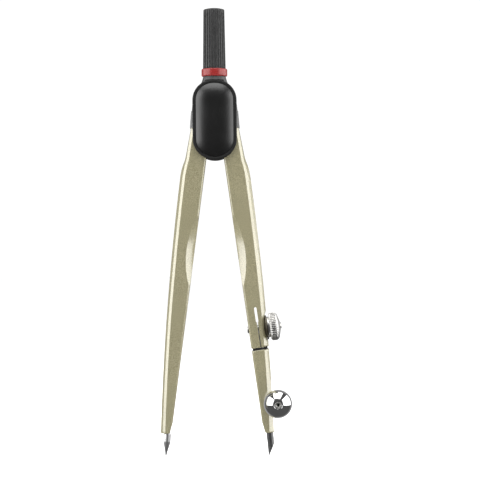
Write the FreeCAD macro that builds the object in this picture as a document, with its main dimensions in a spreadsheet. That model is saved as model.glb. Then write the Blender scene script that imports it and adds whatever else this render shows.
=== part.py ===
import FreeCAD, Part
import math
import os
import Sketcher

# A drawing compass. Origin at the needle tip, +Z up along the handle, +X from the needle leg to the
# lead leg, and -Y to the front, the side that carries the ball screw. All sizes are in millimetres.
# "Across" is measured from the head's own axis, which stands head_x to the right of the needle tip.

DIMENSIONS = [
    # name, value, what it is
    ("head_x", 15.05, "head axis, from the needle tip"),
    ("pivot_z", 101.2, "height of both hinge posts"),
    ("pivot_x", 3.2, "hinge post, from the head axis; also the pitch radius of the head gears"),
    # handle
    ("grip_base", 112.2, "bottom of the grip"),
    ("grip_length", 17.6, "grip, to the top of its dome"),
    ("grip_r_base", 3.3, "grip radius at the bottom"),
    ("grip_r_top", 3.05, "grip radius at the top"),
    ("grip_corner", 0.35, "rounding under the dome"),
    ("grip_dome", 0.4, "height of the dome"),
    ("grip_bore_depth", 12.6, "blind bore for the stem"),
    ("flute_r", 0.3, "radius of one flute"),
    ("flute_count", 26, "flutes round the grip"),
    ("collar_base", 110.0, "bottom of the collar"),
    ("collar_r", 3.75, "collar radius"),
    ("collar_height", 2.2, "collar height"),
    ("collar_edge", 0.3, "rounding of the collar's edges"),
    ("neck_base", 108.1, "bottom of the neck's cone"),
    ("neck_r_base", 3.8, "neck radius at the bottom"),
    ("neck_r_top", 3.25, "neck radius at the top"),
    ("neck_tongue_y", 2.42, "half thickness of the neck between the covers"),
    ("neck_tongue_base", 107.45, "bottom of the neck's tongue"),
    ("neck_play", 0.05, "clearance between the neck and the covers' top"),
    ("stem_r", 1.5, "stem radius"),
    ("stem_play", 0.02, "clearance round the stem"),
    # fork bracket
    ("cheek_in", 1.5, "inner face of a cheek, from the middle plane"),
    ("cheek_out", 2.3, "outer face of a cheek"),
    ("cheek_r", 3.0, "cheek radius round a hinge post"),
    ("bridge_base", 105.1, "underside of the bracket's bridge"),
    ("bridge_half", 5.5, "half width of the bridge at its underside"),
    ("bridge_top_half", 4.2, "half width of the bridge at its top"),
    # covers
    ("cover_top", 108.85, "top of the covers"),
    ("cover_bottom", 85.75, "bottom of the covers"),
    ("cover_half", 6.38, "half width of the covers"),
    ("cover_top_r", 8.8, "radius of the top edge"),
    ("cover_top_corner", 5.8, "radius of the top shoulders"),
    ("cover_bottom_r", 6.6, "radius of the bottom edge"),
    ("cover_bottom_corner", 6.2, "radius of the bottom corners"),
    ("cover_in", 2.5, "inner face of a cover, from the middle plane"),
    ("rim_thick", 1.1, "cover thickness at its rim"),
    ("rim_width", 0.95, "width of the flat rim"),
    ("pillow_thick", 2.25, "cover thickness at the raised middle"),
    ("pillow_edge", 1.0, "rounding of the raised middle"),
    ("rim_edge", 0.25, "rounding of the rim"),
    # hinge posts, screws and washers
    ("post_r", 1.0, "hinge post radius"),
    ("spigot_r", 0.7, "front spigot radius"),
    ("spigot_length", 0.9, "front spigot length"),
    ("screw_r", 0.5, "cover screw radius"),
    ("screw_depth", 1.0, "screw tip, forward of the middle plane"),
    ("screw_head_r", 1.5, "cover screw head radius"),
    ("screw_seat", 3.3, "seat of the screw head, from the middle plane"),
    ("screw_head", 0.9, "height of the screw head"),
    ("screw_recess_r", 1.6, "counterbore radius in the rear cover"),
    ("slot_width", 0.4, "screwdriver slot width"),
    ("slot_depth", 0.4, "screwdriver slot depth"),
    ("washer_r", 2.2, "friction washer radius"),
    ("washer_in", 1.32, "inner face of a friction washer"),
    ("washer_thick", 0.15, "friction washer thickness"),
    # moulded leg heads with their gears
    ("gear_half", 1.3, "half thickness of a gear and its tongue"),
    ("bush_r", 1.5, "bush outer radius"),
    ("bush_play", 0.03, "running clearance on the post"),
    ("gear_teeth", 12, "teeth in a full turn"),
    ("tooth_top", 0.43, "tooth height outside the pitch circle"),
    ("tooth_root", 0.58, "tooth depth inside the pitch circle"),
    ("tooth_play", 0.14, "backlash at the pitch circle"),
    ("pressure_angle", 25.0, "pressure angle of the teeth"),
    ("boss_r", 3.3, "plain round side of the moulded head"),
    ("shoulder_half", 2.15, "half thickness of the shoulder and of the leg at its top"),
    ("shoulder_r", 3.4, "shoulder's hollow round the bracket"),
    ("shoulder_base", 95.07, "bottom of the shoulder, where the painted leg starts"),
    ("shoulder_top", 1.3, "top of the shoulder, below the posts"),
    ("shoulder_top_in", 0.15, "outer edge of the shoulder at its top, inward of the leg"),
    ("mould_step", 0.25, "how far the moulding stands out beyond the painted leg"),
    ("throat_in", 2.0, "inner throat of the moulding, inward of the post"),
    ("throat_down", 1.8, "that throat, below the post"),
    ("heel_in", 0.3, "inner heel of the moulding, inward of the leg's edge"),
    ("heel_up", 2.4, "that heel, above the leg"),
    ("tongue_half", 1.8, "half width of the tongue in the leg"),
    ("tongue_length", 7.0, "length of the tongue"),
    ("tongue_root", 0.5, "how far the tongue runs up into the moulding"),
    ("tongue_tilt", 9.0, "tilt of the tongue"),
    ("tongue_x", 4.18, "middle of the tongue at its top, across"),
    ("rivet_r", 0.7, "rivet radius"),
    ("rivet_first", 2.0, "first rivet, below the top of the leg"),
    ("rivet_second", 5.0, "second rivet, below the top of the leg"),
    # leg outline
    ("inner_ref", 97.3, "height where the inner edge line is given"),
    ("inner_start", 1.0, "inner edge at that height, across"),
    ("inner_slope", 0.1366, "how fast the inner edge moves outward"),
    ("top_outer", 6.95, "outer edge at the top of the leg, across"),
    ("waist_lean", 10.8, "lean of the straight outer edge under the shoulder"),
    ("flare_lean", 22.0, "steepest lean of the flare"),
    ("flare_hollow_r", 12.0, "radius of the flare's hollow stretch"),
    ("flare_round_r", 16.0, "radius of the flare's round stretch"),
    ("shoulder_z", 81.06, "height where the long outer arc starts"),
    ("shoulder_x", 10.16, "outer edge there, across"),
    ("outer_r", 825.0, "radius of the long outer arc"),
    ("foot_z", 6.75, "bottom of the metal"),
    ("foot_outer", 16.44, "outer edge at the bottom, across"),
    ("foot_inner", 13.85, "inner edge at the bottom, across"),
    ("foot_cut_z", 9.8, "height where the bottom's inner corner is cut"),
    ("taper_z", 80.0, "height where the leg starts to thin"),
    ("foot_half", 1.7, "half thickness at the bottom"),
    ("outer_bevel", 1.05, "bevel of the outer edges"),
    ("inner_bevel", 0.5, "bevel of the inner edges"),
    # scoops in the inner edges
    ("scoop_z", 59.4, "middle height of the scoops"),
    ("scoop_r", 28.5, "radius of a scoop on the leg's face"),
    ("scoop_reach", 2.6, "how far a scoop reaches in from the inner edge"),
    ("scoop_ring", 23.2, "radius of the circle that a scoop's arc is turned on"),
    ("scoop_tube", 9.0, "radius of a scoop's arc"),
    ("scoop_face", 2.05, "leg's face at the scoops, from the middle plane"),
    # clamp at the lower end of the lead leg, in its own tilted frame
    ("clamp_x", 12.05, "clamp centre, across"),
    ("clamp_z", 36.9, "clamp centre height"),
    ("clamp_tilt", 7.8, "tilt of the clamp and of the insert"),
    ("split_low_in_z", 31.1, "bottom of the upper leg at its inner edge"),
    ("split_low_out_z", 31.76, "bottom of the upper leg at its outer edge"),
    ("split_low_out_x", 15.076, "outer edge there, across"),
    ("insert_top_in_z", 30.5, "top of the insert at its inner edge"),
    ("insert_top_out_z", 31.16, "top of the insert at its outer edge"),
    ("insert_top_out_x", 15.118, "outer edge there, across"),
    ("gap_half", 0.36, "half width of the see-through slot"),
    ("gap_top", 5.95, "centre of the slot's round top, above the clamp centre"),
    ("gap_low", 1.9, "bottom of the wide slot, above the clamp centre"),
    ("slit_half", 0.15, "half width of a thin slit"),
    ("clamp_low", 8.0, "reach of the slit below the clamp centre"),
    ("socket_r", 1.53, "bore for the insert's shank"),
    ("shank_r", 1.5, "shank radius"),
    ("shank_top", -1.15, "top of the shank, from the clamp centre"),
    ("socket_top", -1.05, "top of the bore, from the clamp centre"),
    ("shank_low", -10.2, "bottom of the shank"),
    ("spacer_in", -2.4, "inner end of the dark spacer in the split, from the clamp centre"),
    ("spacer_out", 1.9, "outer end of the spacer"),
    ("spacer_low", -6.08, "bottom of the spacer"),
    ("spacer_top", -5.53, "top of the spacer"),
    ("spacer_half", 1.7, "half thickness of the spacer"),
    ("stud_r", 1.0, "clamp screw radius"),
    ("stud_hole_r", 1.06, "clamp screw hole radius"),
    ("stud_in", -3.2, "inner end of the clamp screw, along its axis"),
    ("seat_r", 9.5, "radius of the hollow seat behind the knob"),
    ("seat_at", 1.65, "floor of the seat, along the screw"),
    ("clamp_washer_r", 3.5, "clamp washer radius"),
    ("clamp_washer_end", 2.75, "flat side of the clamp washer, along the screw"),
    ("clamp_gap", 0.05, "play between faces that turn on each other"),
    ("knob_flange_r", 3.0, "small flange of the knob"),
    ("knob_flange", 0.6, "flange length"),
    ("knob_r", 4.05, "knurled radius"),
    ("knob_band", 2.0, "knurled length"),
    ("knob_bevel", 0.45, "bevel beyond the knurl"),
    ("knob_face_r", 1.3, "radius where the low cone ends"),
    ("knob_cone", 0.6, "height of the low cone"),
    ("knob_nub", 0.35, "height of the end nub"),
    ("knurl_count", 44, "knurl grooves"),
    ("knurl_r", 0.2, "radius of one knurl groove"),
    # ball screw
    ("ball_x", 17.45, "ball axis, across"),
    ("ball_z", 15.6, "ball axis height"),
    ("ball_r", 4.08, "ball radius"),
    ("ball_y", 6.1, "ball centre, forward of the middle plane"),
    ("ball_seat", 2.5, "flat rear of the ball, forward of the middle plane"),
    ("ball_recess_r", 1.25, "recess in the ball's front"),
    ("ball_recess_y", 9.55, "floor of that recess, forward of the middle plane"),
    ("lug_r", 3.0, "lug radius"),
    ("lug_half", 1.7, "half thickness of the lug"),
    ("bolt_r", 1.0, "ball stud radius"),
    ("bolt_play", 0.04, "running clearance on the stud"),
    ("bolt_head_r", 2.0, "stud head radius"),
    ("bolt_head", 0.7, "stud head height"),
    ("bolt_front", 9.85, "front end of the stud, forward of the middle plane"),
    ("bolt_ring_r", 0.55, "hollow in the stud's front end"),
    ("bolt_ring_depth", 0.3, "depth of that hollow"),
    ("ball_washer_r", 2.5, "ball washer radius"),
    ("ball_washer_in", 1.75, "rear face of the ball washer, forward of the middle plane"),
    ("ball_washer_thick", 0.7, "ball washer thickness"),
    # lead and needle
    ("lead_x", 15.2, "lead axis at the foot, across"),
    ("lead_z", 6.35, "height of that point"),
    ("lead_tilt", 5.5, "tilt of the lead"),
    ("lead_r", 1.0, "lead radius"),
    ("lead_bore_r", 1.04, "lead bore radius"),
    ("lead_bore_up", 18.5, "depth of the lead bore"),
    ("lead_up", 13.5, "lead above the foot"),
    ("lead_down", 6.283, "lead below the foot"),
    ("chisel_height", 3.6, "height of the chisel bevel"),
    ("lead_slit_up", 15.5, "height of the slit that squeezes the lead"),
    ("needle_tilt", 5.0, "tilt of the needle"),
    ("needle_r", 1.05, "needle shoulder radius"),
    ("needle_tip_r", 0.06, "radius of the needle's tip"),
    ("needle_cone", 4.4, "length of the point"),
    ("needle_shoulder", 6.62, "top of the shoulder"),
    ("needle_shank_r", 0.8, "needle shank radius"),
    ("needle_length", 11.5, "needle, from its tip"),
]

GRIP_TAPER = 0.86  # degrees, the lean of the grip's flank
REACH = 60.0  # longer than anything that a cutting tool has to pass through
BEYOND = 2.0  # how far a cutting tool starts outside the face that it opens
FLANK_STEPS = 6  # straight stretches in one involute flank
X_AXIS = FreeCAD.Vector(1, 0, 0)
Y_AXIS = FreeCAD.Vector(0, 1, 0)
Z_AXIS = FreeCAD.Vector(0, 0, 1)
NEEDLE_SIDE = -1
LEAD_SIDE = 1

doc = FreeCAD.newDocument("drawing_compass")


class Size:
    """A number together with the sheet expression that gives it."""

    def __init__(self, value, text):
        self.value = float(value)
        self.text = text

    def __add__(self, other):
        other = as_size(other)
        return Size(self.value + other.value, f"({self.text} + {other.text})")

    def __sub__(self, other):
        other = as_size(other)
        return Size(self.value - other.value, f"({self.text} - {other.text})")

    def __mul__(self, other):
        other = as_size(other)
        return Size(self.value * other.value, f"({self.text} * {other.text})")

    def __truediv__(self, other):
        other = as_size(other)
        return Size(self.value / other.value, f"({self.text} / {other.text})")

    def __rmul__(self, other):
        return as_size(other) * self

    def __neg__(self):
        return as_size(0) - self

    def root(self):
        return Size(math.sqrt(self.value), f"sqrt({self.text})")

    def sin(self):
        return Size(math.sin(math.radians(self.value)), f"sin({self.text})")

    def cos(self):
        return Size(math.cos(math.radians(self.value)), f"cos({self.text})")

    def tan(self):
        return Size(math.tan(math.radians(self.value)), f"tan({self.text})")

    def arc_sin(self):
        degrees = math.degrees(math.asin(self.value))
        return Size(degrees, f"(asin({self.text}) / 1deg)")

    def arc_tan(self):
        degrees = math.degrees(math.atan(self.value))
        return Size(degrees, f"(atan({self.text}) / 1deg)")


def as_size(item):
    return item if isinstance(item, Size) else Size(item, repr(float(item)))


class Dimensions:
    """The driving dimensions: plain numbers in a spreadsheet, each with an alias."""

    def __init__(self, rows):
        sheet = doc.addObject("Spreadsheet::Sheet", "Dims")
        for row, (name, number, note) in enumerate(rows, start=1):
            sheet.set(f"A{row}", note)
            sheet.set(f"B{row}", str(number))
            sheet.setAlias(f"B{row}", name)
            setattr(self, name, Size(number, f"Dims.{name}"))


D = Dimensions(DIMENSIONS)
doc.recompute()


# ---------------------------------------------------------------- helpers


def bind(item, **sizes):
    """Ties properties of an object to the sheet."""
    for name, size in sizes.items():
        item.setExpression(name, as_size(size).text)
    return item


def place(item, across=0, y=0, z=0, axis=Y_AXIS, angle=0):
    """Puts an object at a point given from the head axis, turned about one axis."""
    spot = [as_size(size) for size in (D.head_x + across, y, z)]
    turn = as_size(angle)
    base = FreeCAD.Vector(*[size.value for size in spot])
    item.Placement = FreeCAD.Placement(base, FreeCAD.Rotation(axis, turn.value))
    for letter, size in zip("xyz", spot):
        item.setExpression(f"Placement.Base.{letter}", size.text)
    if isinstance(angle, Size):
        item.setExpression("Placement.Rotation.Angle", turn.text)
    return item


def cylinder(name, radius, height):
    return bind(doc.addObject("Part::Cylinder", name), Radius=radius, Height=height)


def rod_y(name, radius, across, z, y_from, length):
    """A round bar along +Y."""
    return place(cylinder(name, radius, length), across, y_from, z, X_AXIS, -90)


def block(name, across, y, z, width, depth, height):
    """A box with its lowest corner at a point."""
    box = bind(doc.addObject("Part::Box", name), Length=width, Width=depth, Height=height)
    return place(box, across, y, z)


def fuse(name, *pieces):
    whole = doc.addObject("Part::MultiFuse", name)
    whole.Shapes = list(pieces)
    return whole


def cut(name, base, *tools):
    result = doc.addObject("Part::Cut", name)
    result.Base = base
    result.Tool = tools[0] if len(tools) == 1 else fuse(name + "_tools", *tools)
    return result


def group(name, *pieces):
    whole = doc.addObject("Part::Compound", name)
    whole.Links = list(pieces)
    return whole


def ring(name, outer, inner, across, z, y_from, length):
    """A flat ring whose axis lies along Y."""
    return cut(
        name,
        rod_y(name + "_disc", outer, across, z, y_from, length),
        rod_y(name + "_hole", inner, across, z, y_from, length),
    )


def new_body(name):
    return doc.addObject("PartDesign::Body", name)


def new_sketch(body, name, role):
    sketch = body.newObject("Sketcher::SketchObject", name)
    plane = [item for item in body.Origin.OriginFeatures if item.Role == role][0]
    sketch.AttachmentSupport = [(plane, "")]
    sketch.MapMode = "FlatFace"
    return sketch


def arc_between(start, end, radius):
    """The short arc from start to end: it turns left for a radius above zero, else right."""
    half = (end - start) * 0.5
    rise = math.sqrt(radius * radius - half.Length**2)
    left = FreeCAD.Vector(-half.y, half.x, 0).normalize()
    centre = start + half + left * math.copysign(rise, radius)
    angles = [math.atan2(end_point.y - centre.y, end_point.x - centre.x) for end_point in (start, end)]
    if radius < 0:
        angles.reverse()
    if angles[1] < angles[0]:
        angles[1] += 2 * math.pi
    circle = Part.Circle(centre, Z_AXIS, abs(radius))
    return Part.ArcOfCircle(circle, angles[0], angles[1])


def outline(sketch, corners, side=1):
    """Draws a closed outline and binds it to the sheet.

    A corner is (across, up) or (across, up, radius), where the radius bends the edge that starts
    there. A side of -1 mirrors the outline.
    """
    count = len(corners)
    points = [(as_size(corner[0]) * side, as_size(corner[1])) for corner in corners]
    spots = [FreeCAD.Vector(across.value, up.value, 0) for across, up in points]
    radii = [as_size(corner[2]) * side if len(corner) > 2 else None for corner in corners]
    first_end = []
    for index in range(count):
        start, end = spots[index], spots[(index + 1) % count]
        radius = radii[index]
        edge = Part.LineSegment(start, end) if radius is None else arc_between(start, end, radius.value)
        sketch.addGeometry(edge, False)
        first_end.append(2 if radius is not None and radius.value < 0 else 1)
    for index, (across, up) in enumerate(points):
        begin = first_end[index]
        before = (index - 1) % count
        sketch.addConstraint(Sketcher.Constraint("Coincident", before, 3 - first_end[before], index, begin))
        for kind, size in (("DistanceX", across), ("DistanceY", up)):
            made = sketch.addConstraint(Sketcher.Constraint(kind, -1, 1, index, begin, size.value))
            sketch.renameConstraint(made, f"{kind}_{index}")
            sketch.setExpression(f"Constraints.{kind}_{index}", size.text)
        if radii[index] is not None:
            size = radii[index] if radii[index].value > 0 else -radii[index]
            made = sketch.addConstraint(Sketcher.Constraint("Radius", index, size.value))
            sketch.renameConstraint(made, f"radius_{index}")
            sketch.setExpression(f"Constraints.radius_{index}", size.text)
    return sketch


def pad(body, sketch, length, middle=False, back=False):
    feature = body.newObject("PartDesign::Pad", sketch.Name + "_pad")
    feature.Profile = sketch
    feature.Midplane = middle
    feature.Reversed = back
    return bind(feature, Length=length)


def revolve(body, sketch):
    feature = body.newObject("PartDesign::Revolution", sketch.Name + "_turned")
    feature.Profile = sketch
    feature.ReferenceAxis = (sketch, ["V_Axis"])
    feature.Angle = 360
    return feature


def bore(body, name, radius, height, base=(0, 0, 0), axis=Z_AXIS, angle=0):
    """Cuts a round hole into a body; base is in the body's own frame."""
    feature = body.newObject("PartDesign::SubtractiveCylinder", name)
    bind(feature, Radius=radius, Height=height)
    spot = [as_size(size) for size in base]
    point = FreeCAD.Vector(*[size.value for size in spot])
    feature.Placement = FreeCAD.Placement(point, FreeCAD.Rotation(axis, angle))
    for letter, size in zip("xyz", spot):
        feature.setExpression(f"Placement.Base.{letter}", size.text)
    return feature


def around(body, feature, count):
    """Repeats a feature round the body's Z axis."""
    axis = [item for item in body.Origin.OriginFeatures if item.Role == "Z_Axis"][0]
    pattern = body.newObject("PartDesign::PolarPattern", feature.Name + "_pattern")
    pattern.Originals = [feature]
    pattern.Axis = (axis, [""])
    pattern.Angle = 360
    bind(pattern, Occurrences=count)
    body.Tip = pattern
    return pattern


def edges_where(feature, test):
    """Names of the edges whose every sample point passes a test."""
    names = []
    for index, edge in enumerate(feature.Shape.Edges, start=1):
        if all(test(point) for point in edge.discretize(5)):
            names.append(f"Edge{index}")
    return names


def dress(body, kind, size_name, size, base, test):
    """A fillet or chamfer on the edges that pass a test."""
    doc.recompute()
    names = edges_where(base, test)
    feature = body.newObject("PartDesign::" + kind, f"{base.Name}_{kind}".lower())
    feature.Base = (base, names)
    bind(feature, **{size_name: size})
    return feature


# ---------------------------------------------------------------- handle


def handle_grip():
    body = place(new_body("handle_grip"), z=D.grip_base)
    dome_r = D.grip_r_top - D.grip_corner
    dome_bend = (dome_r * dome_r + D.grip_dome * D.grip_dome) / (2 * D.grip_dome)
    below_dome = D.grip_length - D.grip_dome
    profile = new_sketch(body, "grip_profile", "XZ_Plane")
    corners = [
        (0, 0),
        (D.grip_r_base, 0),
        (D.grip_r_top, below_dome - D.grip_corner, D.grip_corner),
        (dome_r, below_dome, dome_bend),
        (0, D.grip_length),
    ]
    revolve(body, outline(profile, corners))
    bore(body, "grip_bore", D.stem_r + D.stem_play, D.grip_bore_depth)
    flute_at = D.grip_r_base + D.flute_r / 4
    flute = bore(body, "flute", D.flute_r, D.grip_length * 2, (flute_at, 0, 0), Y_AXIS, -GRIP_TAPER)
    around(body, flute, D.flute_count)
    return body


def collar_ring():
    body = place(new_body("collar_ring"), z=D.collar_base)
    hole_r = D.stem_r + D.stem_play
    flat_r = D.collar_r - D.collar_edge
    profile = new_sketch(body, "collar_profile", "XZ_Plane")
    corners = [
        (hole_r, 0),
        (flat_r, 0, D.collar_edge),
        (D.collar_r, D.collar_edge),
        (D.collar_r, D.collar_height - D.collar_edge, D.collar_edge),
        (flat_r, D.collar_height),
        (hole_r, D.collar_height),
    ]
    revolve(body, outline(profile, corners))
    return body


def neck_cone():
    height = D.collar_base - D.neck_base
    cone = doc.addObject("Part::Cone", "neck_flank")
    bind(cone, Radius1=D.neck_r_base, Radius2=D.neck_r_top, Height=height)
    place(cone, z=D.neck_base)
    wide = D.neck_r_base * 2
    tongue = block(
        "neck_tongue",
        -D.neck_r_base,
        -D.neck_tongue_y,
        D.neck_tongue_base,
        wide,
        D.neck_tongue_y * 2,
        D.neck_base - D.neck_tongue_base,
    )
    low = D.neck_tongue_base - BEYOND
    shelf = D.cover_top + D.neck_play - low
    sides = [
        block("neck_side_front", -wide, -D.neck_tongue_y - wide, low, wide * 2, wide, shelf),
        block("neck_side_rear", -wide, D.neck_tongue_y, low, wide * 2, wide, shelf),
    ]
    hole = place(cylinder("neck_hole", D.stem_r + D.stem_play, height * 3), z=low)
    return cut("neck_cone", fuse("neck_blank", cone, tongue), *sides, hole)


def fork_bracket():
    body = place(new_body("fork_bracket"))
    cheek_side = D.pivot_x + D.cheek_r
    profile = new_sketch(body, "bracket_profile", "XZ_Plane")
    corners = [
        (-D.pivot_x, D.pivot_z - D.cheek_r),
        (D.pivot_x, D.pivot_z - D.cheek_r, D.cheek_r),
        (cheek_side, D.pivot_z),
        (D.bridge_half, D.bridge_base),
        (D.bridge_top_half, D.neck_tongue_base),
        (-D.bridge_top_half, D.neck_tongue_base),
        (-D.bridge_half, D.bridge_base),
        (-cheek_side, D.pivot_z, D.cheek_r),
    ]
    pad(body, outline(profile, corners), D.cheek_out * 2, middle=True)
    gap = body.newObject("PartDesign::SubtractiveBox", "bracket_gap")
    bind(gap, Length=cheek_side * 3, Width=D.cheek_in * 2, Height=D.bridge_base - D.cover_bottom)
    gap.setExpression("Placement.Base.x", (-cheek_side * 1.5).text)
    gap.setExpression("Placement.Base.y", (-D.cheek_in).text)
    gap.setExpression("Placement.Base.z", D.cover_bottom.text)
    for name, side in (("left", NEEDLE_SIDE), ("right", LEAD_SIDE)):
        spot = (D.pivot_x * side, -D.cheek_out * 2, D.pivot_z)
        bore(body, f"bracket_hole_{name}", D.post_r, D.cheek_out * 4, spot, X_AXIS, -90)
    bore(body, "bracket_stem_hole", D.stem_r, D.grip_length, (0, 0, D.bridge_base - BEYOND))
    return body


def fork_stem():
    length = D.grip_base + D.grip_bore_depth - D.bridge_base
    return place(cylinder("fork_stem", D.stem_r, length), z=D.bridge_base)


# ---------------------------------------------------------------- covers and hinge posts


def cover_end(tip, tip_r, corner_r, up, inset):
    """Where a cover's round end meets its corner, and where the corner meets the straight side."""
    blend_x = D.cover_half - corner_r
    reach = tip_r - corner_r
    rise = (reach * reach - blend_x * blend_x).root()
    centre = tip - tip_r * up
    meet_x = blend_x * (tip_r - inset) / reach
    meet_z = centre + rise * (tip_r - inset) / reach * up
    return meet_x, meet_z, centre + rise * up


def cover_outline(inset):
    """Rounded shield: wide round top and bottom, each blended into the straight sides."""
    half = D.cover_half - inset
    low_x, low_z, low_side = cover_end(D.cover_bottom, D.cover_bottom_r, D.cover_bottom_corner, -1, inset)
    top_x, top_z, top_side = cover_end(D.cover_top, D.cover_top_r, D.cover_top_corner, 1, inset)
    return [
        (-low_x, low_z, D.cover_bottom_r - inset),
        (low_x, low_z, D.cover_bottom_corner - inset),
        (half, low_side),
        (half, top_side, D.cover_top_corner - inset),
        (top_x, top_z, D.cover_top_r - inset),
        (-top_x, top_z, D.cover_top_corner - inset),
        (-half, top_side),
        (-half, low_side, D.cover_bottom_corner - inset),
    ]


def cover_shell(name, back):
    """A thin rim with a raised, rounded middle; back is True for the rear cover."""
    side = 1 if back else -1
    body = place(new_body(name), y=D.cover_in * side)

    def at_height(thick):
        return lambda point: abs(point.y - thick.value * side) < 1e-4

    outer = new_sketch(body, name + "_rim", "XZ_Plane")
    rim = pad(body, outline(outer, cover_outline(as_size(0))), D.rim_thick, back=back)
    dress(body, "Fillet", "Radius", D.rim_edge, rim, at_height(D.rim_thick))
    middle = new_sketch(body, name + "_middle", "XZ_Plane")
    raised = pad(body, outline(middle, cover_outline(D.rim_width)), D.pillow_thick, back=back)
    dress(body, "Fillet", "Radius", D.pillow_edge, raised, at_height(D.pillow_thick))
    return body


def front_cover():
    body = cover_shell("front_cover", back=False)
    for name, side in (("left", NEEDLE_SIDE), ("right", LEAD_SIDE)):
        spot = (D.pivot_x * side, -D.spigot_length, D.pivot_z)
        bore(body, f"front_socket_{name}", D.spigot_r, D.spigot_length * 2, spot, X_AXIS, -90)
    return body


def rear_cover():
    body = cover_shell("rear_cover", back=True)
    for name, side in (("left", NEEDLE_SIDE), ("right", LEAD_SIDE)):
        through = (D.pivot_x * side, -BEYOND, D.pivot_z)
        bore(body, f"rear_hole_{name}", D.screw_r, D.pillow_thick * 3, through, X_AXIS, -90)
        seat = (D.pivot_x * side, D.screw_seat - D.cover_in, D.pivot_z)
        bore(body, f"rear_seat_{name}", D.screw_recess_r, D.pillow_thick * 2, seat, X_AXIS, -90)
    return body


def hinge_post(name, side):
    """Hollow post between the covers, with a spigot in the front cover and a bore for the screw."""
    across = D.pivot_x * side
    post = rod_y(name + "_barrel", D.post_r, across, D.pivot_z, -D.cover_in, D.cover_in * 2)
    front = -D.cover_in - D.spigot_length
    spigot = rod_y(name + "_spigot", D.spigot_r, across, D.pivot_z, front, D.spigot_length)
    hole = rod_y(name + "_bore", D.screw_r, across, D.pivot_z, -D.screw_depth, D.cover_in * 2)
    return cut(name, fuse(name + "_blank", post, spigot), hole)


def cover_screws():
    screws = []
    for name, side in (("left", NEEDLE_SIDE), ("right", LEAD_SIDE)):
        across = D.pivot_x * side
        shank_length = D.screw_depth + D.screw_seat
        shank = rod_y(f"{name}_screw_shank", D.screw_r, across, D.pivot_z, -D.screw_depth, shank_length)
        head = rod_y(f"{name}_screw_head", D.screw_head_r, across, D.pivot_z, D.screw_seat, D.screw_head)
        slot = block(
            f"{name}_screw_slot",
            across - D.slot_width / 2,
            D.screw_seat + D.screw_head - D.slot_depth,
            D.pivot_z - D.screw_head_r * 2,
            D.slot_width,
            D.slot_depth * 2,
            D.screw_head_r * 4,
        )
        screws.append(cut(f"{name}_screw", fuse(f"{name}_screw_blank", shank, head), slot))
    return group("cover_screws", *screws)


def hinge_washers():
    washers = []
    for name, side in (("left", NEEDLE_SIDE), ("right", LEAD_SIDE)):
        across = D.pivot_x * side
        starts = (("front", -D.washer_in - D.washer_thick), ("rear", D.washer_in))
        for face, start in starts:
            label = f"{name}_{face}_washer"
            washers.append(ring(label, D.washer_r, D.post_r, across, D.pivot_z, start, D.washer_thick))
    return group("hinge_washers", *washers)


# ---------------------------------------------------------------- moulded leg heads


def involute(angle):
    return math.tan(angle) - angle


def tooth_face(centre_angle):
    """One involute tooth in the XZ plane round the origin."""
    pitch_r = D.pivot_x.value
    base_r = pitch_r * math.cos(math.radians(D.pressure_angle.value))
    root_r = pitch_r - D.tooth_root.value
    tip_r = pitch_r + D.tooth_top.value
    at_pitch = involute(math.radians(D.pressure_angle.value))
    half_pitch = math.pi / (2 * D.gear_teeth.value) - D.tooth_play.value / (4 * pitch_r)
    flank = [(root_r - D.tooth_top.value, half_pitch + at_pitch)]
    for step in range(FLANK_STEPS + 1):
        radius = base_r + (tip_r - base_r) * step / FLANK_STEPS
        flank.append((radius, half_pitch + at_pitch - involute(math.acos(base_r / radius))))
    polar = [(radius, -angle) for radius, angle in flank] + list(reversed(flank))
    points = []
    for radius, angle in polar:
        turn = angle + math.radians(centre_angle)
        points.append(FreeCAD.Vector(radius * math.cos(turn), 0, radius * math.sin(turn)))
    return Part.Face(Part.makePolygon(points + points[:1]))


def gear_blank(name, side):
    """Toothed disc: teeth face the other leg, and the outer side is plain and round.

    The needle side has a tooth on the line between the posts and the lead side a gap, so that the
    two mesh. Teeth stand only where they meet within the legs' travel.
    """
    thick = D.gear_half.value * 2
    pitch = 360 / D.gear_teeth.value
    if side == NEEDLE_SIDE:
        turns = [index * pitch for index in (-1, 0, 1, 2)]
    else:
        turns = [180 + pitch / 2 - index * pitch for index in (0, 1, 2)]
    shift = FreeCAD.Vector(0, -D.gear_half.value, 0)
    shape = Part.makeCylinder(D.pivot_x.value - D.tooth_root.value, thick, shift, Y_AXIS)
    for turn in turns:
        tooth = tooth_face(turn).extrude(FreeCAD.Vector(0, thick, 0))
        shape = shape.fuse(tooth.translated(shift))
    half_corner = FreeCAD.Vector(0 if side == LEAD_SIDE else -REACH, -REACH / 2, -REACH / 2)
    outer_half = Part.makeBox(REACH, REACH, REACH, half_corner)
    plain = Part.makeCylinder(D.boss_r.value, thick, shift, Y_AXIS).common(outer_half)
    feature = doc.addObject("Part::Feature", name)
    feature.Shape = shape.fuse(plain).removeSplitter()
    return place(feature, D.pivot_x * side, 0, D.pivot_z)


def inner_edge(height):
    """How far the straight inner edge of a leg is from the head axis at a height."""
    return D.inner_start + D.inner_slope * (D.inner_ref - height)


def head_plate(name, side, half, corners):
    body = place(new_body(name))
    sketch = outline(new_sketch(body, name + "_profile", "XZ_Plane"), corners, side)
    pad(body, sketch, half * 2, middle=True)
    return body


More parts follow.
